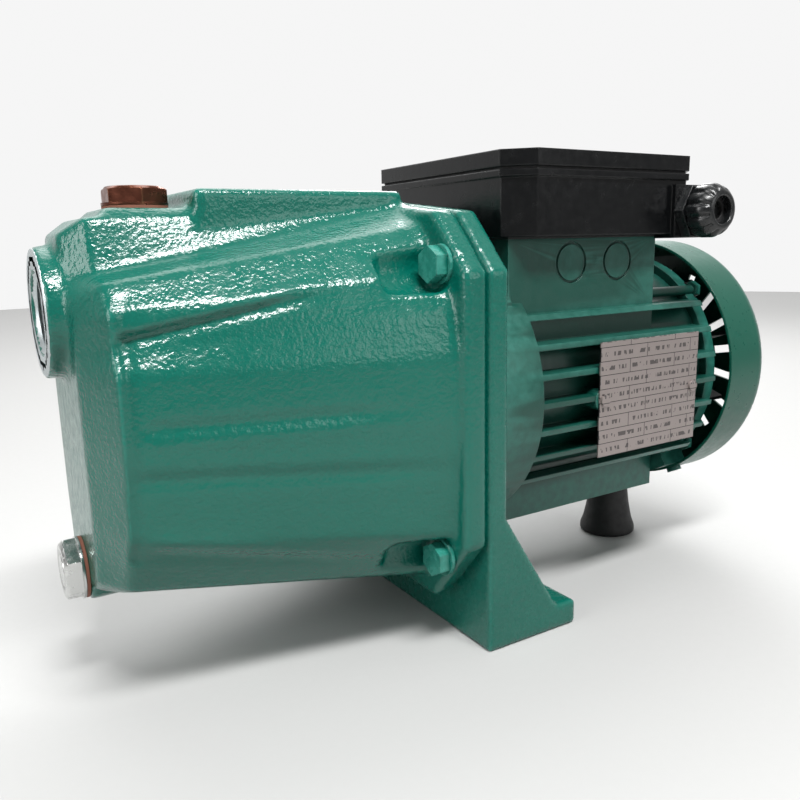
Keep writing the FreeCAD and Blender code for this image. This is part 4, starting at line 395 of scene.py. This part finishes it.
def cast(node, voxel, passes):
    """A sand-cast skin: the node's solid is sampled on a grid of cubes, then every corner moves
    towards the mean of its neighbours, `passes` times, so edges and inside corners grow fillets."""
    carrier = bpy.data.objects.new("casting", merged(node))
    bpy.context.scene.collection.objects.link(carrier)
    remesh = carrier.modifiers.new("grid", "REMESH")
    remesh.mode, remesh.voxel_size = "VOXEL", voxel
    mesh = bpy.data.meshes.new_from_object(carrier.evaluated_get(bpy.context.evaluated_depsgraph_get()))
    bpy.data.objects.remove(carrier)
    count = len(mesh.vertices)
    at = corners(mesh)
    ends = np.empty(len(mesh.edges) * 2, dtype=np.int64)
    mesh.edges.foreach_get("vertices", ends)
    ends = ends.reshape(-1, 2)
    near = np.bincount(ends.ravel(), minlength=count).astype(float)
    for step in range(2 * passes):
        total = np.stack([np.bincount(ends[:, 0], at[ends[:, 1], k], count)
                          + np.bincount(ends[:, 1], at[ends[:, 0], k], count) for k in range(3)], axis=1)
        at = at + (0.6 if step % 2 == 0 else -0.48) * (total / near[:, None] - at)
    low, high = (np.array(v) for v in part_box(node))
    mesh.vertices.foreach_set("co", np.clip(at, low, high).ravel())
    mesh.update()
    return mesh


def bored(mesh, start, end, radius):
    """Opens a bore about the shaft: points between two stations that are nearer the shaft than
    the radius, and in the bore's wall, move straight out to it."""
    at = corners(mesh)
    arm = at[:, 1:] - (0.0, SHAFT)
    reach = np.linalg.norm(arm, axis=1)
    inside = (at[:, 0] > start) & (at[:, 0] < end) & (reach < radius) & (reach > 0.6 * radius)
    at[inside, 1:] = arm[inside] * (radius / reach[inside])[:, None] + (0.0, SHAFT)
    mesh.vertices.foreach_set("co", at.ravel())
    mesh.update()


# Lines on the casing's flanks, in millimetres: from (x, z) to (x, z), depth of the groove,
# height of the ridge above it, and width.
FLANK_LINES = (
    ((-167, 143.5), (-88, 157.5), 1.9, 0.9, 2.2),
    ((-163, 109.5), (-58, 106.2), -0.2, -1.0, 2.6),
    ((-168, 96.5), (-34, 83), 0.8, 0.3, 3.0),
    ((-164, 68), (-70, 44.5), 0.6, 0.9, 3.0),
    ((-157, 166), (-93, 185), 0.5, 1.0, 3.0),
    ((-166.5, 60), (-163, 172), 1.6, 1.0, 2.4),
)


def lined(mesh):
    """Presses the flank lines in: each point near a line moves across the flank by a Gaussian
    groove on the line and a Gaussian ridge beside it, fading to nothing at the line's ends."""
    count = len(mesh.vertices)
    at, normal = corners(mesh), np.empty(count * 3)
    mesh.vertices.foreach_get("normal", normal)
    normal = normal.reshape(-1, 3)
    side = np.sign(at[:, 1])
    outer = (np.abs(at[:, 1]) > 0.045) & (normal[:, 1] * side > 0.5)
    push = np.zeros(count)
    for start, end, groove, ridge, width in FLANK_LINES:
        start, run = np.array(start), np.array(end) - np.array(start)
        length = np.linalg.norm(run)
        offset = at[:, [0, 2]] / MM - start
        along = offset @ run / length ** 2
        across = (offset[:, 1] * run[0] - offset[:, 0] * run[1]) / length
        fade = np.clip(np.minimum(along / 0.05, (1 - along) / 0.35), 0, 1)
        push += fade * (ridge * np.exp(-((across - 1.7 * width) / width) ** 2)
                        - groove * np.exp(-(across / width) ** 2))
    at[:, 1] += np.where(outer, side * push * MM, 0.0)
    mesh.vertices.foreach_set("co", at.ravel())
    mesh.update()
    return mesh


def grid_mesh(name, points):
    """Closed skin over a grid of rings: points[i, j] is point j of ring i, each ring closes on
    itself, and the first and last rings are closed to their middles."""
    rings, sides = points.shape[:2]
    ends = np.stack([points[0].mean(axis=0), points[-1].mean(axis=0)])
    at = np.concatenate([points.reshape(-1, 3), ends])
    i, j = np.meshgrid(np.arange(rings - 1), np.arange(sides), indexing="ij")
    k = (j + 1) % sides
    quads = np.stack([i * sides + j, i * sides + k, (i + 1) * sides + k, (i + 1) * sides + j], axis=-1)
    turn = np.arange(sides)
    after = (turn + 1) % sides
    base = (rings - 1) * sides
    first = np.stack([np.full(sides, rings * sides), after, turn], axis=-1)
    last = np.stack([np.full(sides, rings * sides + 1), base + turn, base + after], axis=-1)
    return outward(name, at, quads.reshape(-1, 4).tolist() + first.tolist() + last.tolist())


def spun(name, centre, axis, profile, sides=96, flats=None, flutes=None):
    """A turned piece: for each (along, radius, shaped) of the profile a ring of that radius stands
    square to the axis. On shaped rings the radius is the smaller of the profile's and the distance
    to a hexagon `flats` across, or the profile's lowered by a cosine with `flutes` = (number, depth)."""
    profile = np.array(profile, float)
    angle = np.linspace(0, 2 * math.pi, sides, endpoint=False)
    radius = np.repeat(profile[:, 1:2], sides, axis=1)
    shaped = profile[:, 2:3] > 0
    if flats:
        sector = (angle + math.pi / 6) % (math.pi / 3) - math.pi / 6
        radius = np.where(shaped, np.minimum(radius, flats / 2 / np.cos(sector)), radius)
    if flutes:
        radius = np.where(shaped, radius - flutes[1] * (0.5 - 0.5 * np.cos(flutes[0] * angle)) ** 3, radius)
    along = np.repeat(profile[:, 0:1], sides, axis=1)
    across = np.stack([radius * np.cos(angle), radius * np.sin(angle)])
    order = {"x": (along, across[0], across[1]), "y": (across[1], along, across[0]),
             "z": (across[0], across[1], along)}[axis]
    return grid_mesh(name, np.stack(order, axis=-1) + np.array(centre))


def eased(profile, radius, steps=4):
    """The profile with each corner cut to a quarter round of that radius, or as much as fits."""
    points = [np.array(p[:2], float) for p in profile]
    out = [tuple(profile[0])]
    for before, here, after, shaped in zip(points, points[1:], points[2:], [p[2] for p in profile[1:]]):
        into, away = before - here, after - here
        reach = min(radius, 0.45 * np.linalg.norm(into), 0.45 * np.linalg.norm(away))
        start = here + into / np.linalg.norm(into) * reach
        end = here + away / np.linalg.norm(away) * reach
        for t in np.linspace(0, 1, steps):
            point = (1 - t) ** 2 * start + 2 * t * (1 - t) * here + t ** 2 * end
            out.append((point[0], point[1], shaped))
    return out + [tuple(profile[-1])]


def closed_ring(name, centre, axis, profile, sides=128):
    """A ring whose section is the closed profile: the same spin as `spun`, joined end to start."""
    profile = np.array(profile, float)[:, :2]
    angle = np.linspace(0, 2 * math.pi, sides, endpoint=False)
    along = np.repeat(profile[:, 0:1], sides, axis=1)
    side_a, side_b = profile[:, 1:2] * np.cos(angle), profile[:, 1:2] * np.sin(angle)
    order = {"x": (along, side_a, side_b), "z": (side_a, side_b, along)}[axis]
    points = np.stack(order, axis=-1) + np.array(centre)
    rings = len(profile) - 1
    i, j = np.meshgrid(np.arange(rings), np.arange(sides), indexing="ij")
    k, down = (j + 1) % sides, (i + 1) % rings
    quads = np.stack([i * sides + j, i * sides + k, down * sides + k, down * sides + j], axis=-1)
    return outward(name, points[:-1].reshape(-1, 3), quads.reshape(-1, 4).tolist())


def frame_matrix(x, y, z, at):
    """The matrix whose columns are three axes and a place."""
    return Matrix([(x[i], y[i], z[i], at[i]) for i in range(3)] + [(0, 0, 0, 1)])


def facing(at, ahead, up):
    """The matrix of a lamp at a place, looking along `ahead`."""
    right = np.cross(ahead, up)
    right = right / np.linalg.norm(right)
    return frame_matrix(right, np.cross(right, ahead), -np.array(ahead), at)


# ---------------------------------------------------------------- operators

class JETPUMP_OT_finishes(bpy.types.Operator):
    """Make the finishes and paint the carried-over nodes"""
    bl_idname = "jetpump.finishes"
    bl_label = "Finishes"

    def execute(self, context):
        make_finishes(context.scene.jet_pump_sizes, context.scene.jet_pump_colours)
        for finish, nodes in WORN_BY.items():
            for node in nodes:
                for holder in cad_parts[node].material_slots:
                    holder.material = FINISHES[finish]
                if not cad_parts[node].material_slots:
                    raise RuntimeError("node %s has no material slot" % node)
        return {"FINISHED"}


class JETPUMP_OT_casing(bpy.types.Operator):
    """Pump casing with its cast fillets, and the machined rims and threads of its two ports"""
    bl_idname = "jetpump.casing"
    bl_label = "Pump casing"

    def execute(self, context):
        sizes = context.scene.jet_pump_sizes
        keep("casing_skin", lined(cast("pump_casing", sizes.cast_voxel, sizes.cast_passes)), "cast_enamel",
             "pump_frame", ["pump_casing"], 180.0)
        pitch = sizes.thread_pitch
        for name, at, axis, outer, deep, facing_way in PORTS:
            turns = np.arange(0.0022, deep, pitch / 2)
            crest = np.where(np.arange(len(turns)) % 2 == 0, THREAD_CREST, THREAD_ROOT)
            profile = [(-0.0050, outer), (-0.0003, outer), (0.0, outer - 0.0003), (0.0, 0.0166),
                       (-0.0014, 0.0149)]
            profile += [(-t, r) for t, r in zip(turns, crest)] + [(-deep, 0.0152), (-deep, 0.0172)]
            profile += [(-0.0060, 0.0180), (-0.0050, outer)]
            ring = [(facing_way * a, r, 0) for a, r in profile]
            keep(name, closed_ring(name, at, axis, ring), "machined", "pump_frame",
                 (), 40.0)
        return {"FINISHED"}


class JETPUMP_OT_bracket(bpy.types.Operator):
    """Motor bracket and the motor's own castings"""
    bl_idname = "jetpump.bracket"
    bl_label = "Bracket and motor"

    def execute(self, context):
        sizes = context.scene.jet_pump_sizes
        skin = cast("motor_bracket", sizes.cast_voxel * 0.75, sizes.cast_passes - 3)
        for start, end, radius in BRACKET_BORES:
            bored(skin, start, end, radius)
        keep("bracket_skin", skin, "bracket_enamel", "pump_frame",
             ["motor_bracket"], 180.0)
        for node, finish, slot, body in (
                ("motor_frame", "motor_enamel", "green_motor_enamel", "pump_frame"),
                ("rear_shield", "motor_enamel", "green_motor_enamel", "pump_frame"),
                ("fan_cover", "cover_enamel", "green_cover_enamel", "pump_frame"),
                ("fan", "fan_plastic", "fan_plastic", "rotor"),
                ("casing_bolts", "bracket_enamel", "plated_steel", "pump_frame"),
                ("casing_bolt_washers", "bracket_enamel", "plated_steel", "pump_frame"),
                ("terminal_box_base", "box_plastic", "box_plastic", "pump_frame"),
                ("terminal_box_lid", "box_plastic", "box_plastic", "box_lid"),
                ("gland_body", "gland_plastic", "box_plastic", "pump_frame")):
            skin = keep(node + "_skin", merged(node), finish, body, [node], 28.0)
            flat = skin.modifiers.new("flat faces stay flat", "WEIGHTED_NORMAL")
            flat.keep_sharp, flat.weight = True, 100
        return {"FINISHED"}


class JETPUMP_OT_closures(bpy.types.Operator):
    """Filler plug, drain plug, gland nut and rubber foot"""
    bl_idname = "jetpump.closures"
    bl_label = "Plugs, gland nut and foot"

    def execute(self, context):
        for node, axis, finish, slot, body in (
                ("filler_plug", "z", "brass", "plug_brass", "filler_closure"),
                ("drain_plug", "x", "steel", "plated_steel", "drain_closure")):
            lo, hi = (np.array(v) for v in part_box(node))
            centre = (lo + hi) / 2
            if axis == "z":
                centre[2], sign, length = hi[2], 1, hi[2] - lo[2]
            else:
                centre[0], sign, length = lo[0], -1, hi[0] - lo[0]
            profile = [(0.0, 0.0062, 0), (-0.0008, 0.0066, 0), (-0.0008, 0.0078, 0), (0.0, 0.0086, 1),
                       (0.0, 0.0103, 1), (-0.0013, 0.0127, 1), (-0.0062, 0.0127, 1), (-0.0062, 0.0125, 0),
                       (-0.0074, 0.0125, 0), (-0.0074, 0.0083, 0), (-length, 0.0080, 0), (-length, 0.002, 0)]
            profile = [(sign * a, r, s) for a, r, s in eased(profile, 0.0005)]
            keep(node + "_skin", spun(node, centre, axis, profile, 144, HEX_FLATS), finish, body,
                 [node], 26.0)
        lo, hi = (np.array(v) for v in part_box("gland_nut"))
        centre, deep = (lo + hi) / 2, hi[1] - lo[1]
        centre[1] = lo[1]
        reach = (hi[0] - lo[0]) / 2
        dome = [(deep, 0.0103), (deep, reach), (0.42 * deep, reach), (0.16 * deep, 0.86 * reach),
                (0.0, 0.68 * reach), (0.0, 0.0064), (0.5 * deep, 0.0064)]
        shaped = [0, 1, 1, 1, 0, 0, 0]
        nut = [(a, r, s) for (a, r), s in zip(dome, shaped)]
        keep("gland_nut_skin", spun("gland_nut", centre, "y", eased(nut, 0.0012), 216, None, (12, 0.0011)),
             "gland_plastic", "gland_clamp_nut", ["gland_nut"], 40.0)
        lo, hi = (np.array(v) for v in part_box("rubber_foot"))
        centre, tall = (lo + hi) / 2, hi[2]
        centre[2] = 0.0
        base, neck = (hi[0] - lo[0]) / 2, 0.0105
        foot = [(0.0, 0.0085, 0), (0.0, base, 0), (0.0035, base, 0), (0.008, base - 0.0018, 0),
                (0.5 * tall, 0.6 * neck + 0.4 * base - 0.0004, 0), (tall - 0.002, neck, 0), (tall, neck, 0),
                (tall, 0.004, 0)]
        keep("rubber_foot_skin", spun("rubber_foot", centre, "z", eased(foot, 0.003, 6), 96), "rubber",
             "pump_frame", ["rubber_foot"], 50.0)
        return {"FINISHED"}


class JETPUMP_OT_stage(bpy.types.Operator):
    """Pale floor, soft lights and the camera"""
    bl_idname = "jetpump.stage"
    bl_label = "Studio"

    def execute(self, context):
        scene = context.scene
        world = bpy.data.worlds.new("Pale studio")
        world.use_nodes = True
        # a pale room, brighter on the far side than behind the camera
        direction = add(world.node_tree, "ShaderNodeTexCoord").outputs["Generated"]
        far = add(world.node_tree, "ShaderNodeVectorMath", {0: direction, 1: (0.52, 0.85, 0.0)},
                  operation="DOT_PRODUCT").outputs["Value"]
        bright = add(world.node_tree, "ShaderNodeMapRange", {
            "Value": far, "From Min": -0.1, "From Max": 0.6, "To Min": 0.26,
            "To Max": 0.92}).outputs["Result"]
        background = world.node_tree.nodes["Background"]
        background.inputs["Color"].default_value = (1.0, 1.0, 1.0, 1.0)
        world.node_tree.links.new(bright, background.inputs["Strength"])
        scene.world = world
        scene.view_settings.view_transform = "Standard"
        floor = bpy.data.meshes.new("floor")
        turn = np.linspace(0, 2 * math.pi, 128, endpoint=False)
        disc = np.stack([FLOOR_RADIUS * np.cos(turn), FLOOR_RADIUS * np.sin(turn), 0 * turn], axis=1)
        floor.from_pydata(disc.tolist(), [], [list(range(128))])
        floor.transform(Matrix.Translation((0, 0, CAD_BOX[0][2] - FLOOR_GAP)))
        floor.materials.append(surface("Matt white floor", "#aeaead", 0.0, (0.7, 0.8), [(3.0, 0.01)],
                                       0.01, 300.0))
        piece = bpy.data.objects.new("floor", floor)
        scene.collection.objects.link(piece)
        for name, at, aim, width, depth, power in LAMPS:
            light = bpy.data.lights.new(name, "AREA")
            light.shape, light.size, light.size_y, light.energy = "RECTANGLE", width, depth, power
            lamp = bpy.data.objects.new(name, light)
            back = np.array(at) - np.array(aim)
            lamp.matrix_world = facing(at, -back / np.linalg.norm(back), (0.0, 0.0, 1.0))
            scene.collection.objects.link(lamp)
        lens = bpy.data.cameras.new("studio camera")
        lens.lens, lens.sensor_width, lens.clip_start = LENS, FILM, 0.01
        camera = bpy.data.objects.new("studio camera", lens)
        yaw, pitch, roll = CAMERA_TURN
        ahead = np.array([math.sin(yaw) * math.cos(pitch), math.cos(yaw) * math.cos(pitch), math.sin(pitch)])
        right = np.array([math.cos(yaw), -math.sin(yaw), 0.0])
        up = np.cross(right, ahead)
        turned_right = math.cos(roll) * right + math.sin(roll) * up
        turned_up = -math.sin(roll) * right + math.cos(roll) * up
        camera.matrix_world = frame_matrix(turned_right, turned_up, -ahead, CAMERA_AT)
        scene.collection.objects.link(camera)
        scene.camera = camera
        return {"FINISHED"}


OPERATORS = (JETPUMP_OT_finishes, JETPUMP_OT_casing, JETPUMP_OT_bracket, JETPUMP_OT_closures,
             JETPUMP_OT_stage)


class JETPUMP_PT_panel(bpy.types.Panel):
    """Sizes, colours and one button for each operator"""
    bl_idname = "JETPUMP_PT_panel"
    bl_label = "Jet Pump"
    bl_space_type = "VIEW_3D"
    bl_region_type = "UI"
    bl_category = "Jet Pump"

    def draw(self, context):
        for group in (context.scene.jet_pump_sizes, context.scene.jet_pump_colours):
            box = self.layout.box()
            for name in group.bl_rna.properties.keys():
                if name not in ("rna_type", "name"):
                    box.prop(group, name)
        for operator in OPERATORS:
            self.layout.operator(operator.bl_idname)


CLASSES = (JetPumpSizes, JetPumpColours) + OPERATORS + (JETPUMP_PT_panel,)


def register():
    for each in CLASSES:
        bpy.utils.register_class(each)
    bpy.types.Scene.jet_pump_sizes = bpy.props.PointerProperty(type=JetPumpSizes)
    bpy.types.Scene.jet_pump_colours = bpy.props.PointerProperty(type=JetPumpColours)


def unregister():
    del bpy.types.Scene.jet_pump_colours
    del bpy.types.Scene.jet_pump_sizes
    for each in reversed(CLASSES):
        bpy.utils.unregister_class(each)


def main():
    register()
    for operator in OPERATORS:
        group, name = operator.bl_idname.split(".")
        getattr(getattr(bpy.ops, group), name)()


if __name__ == "__main__":
    main()
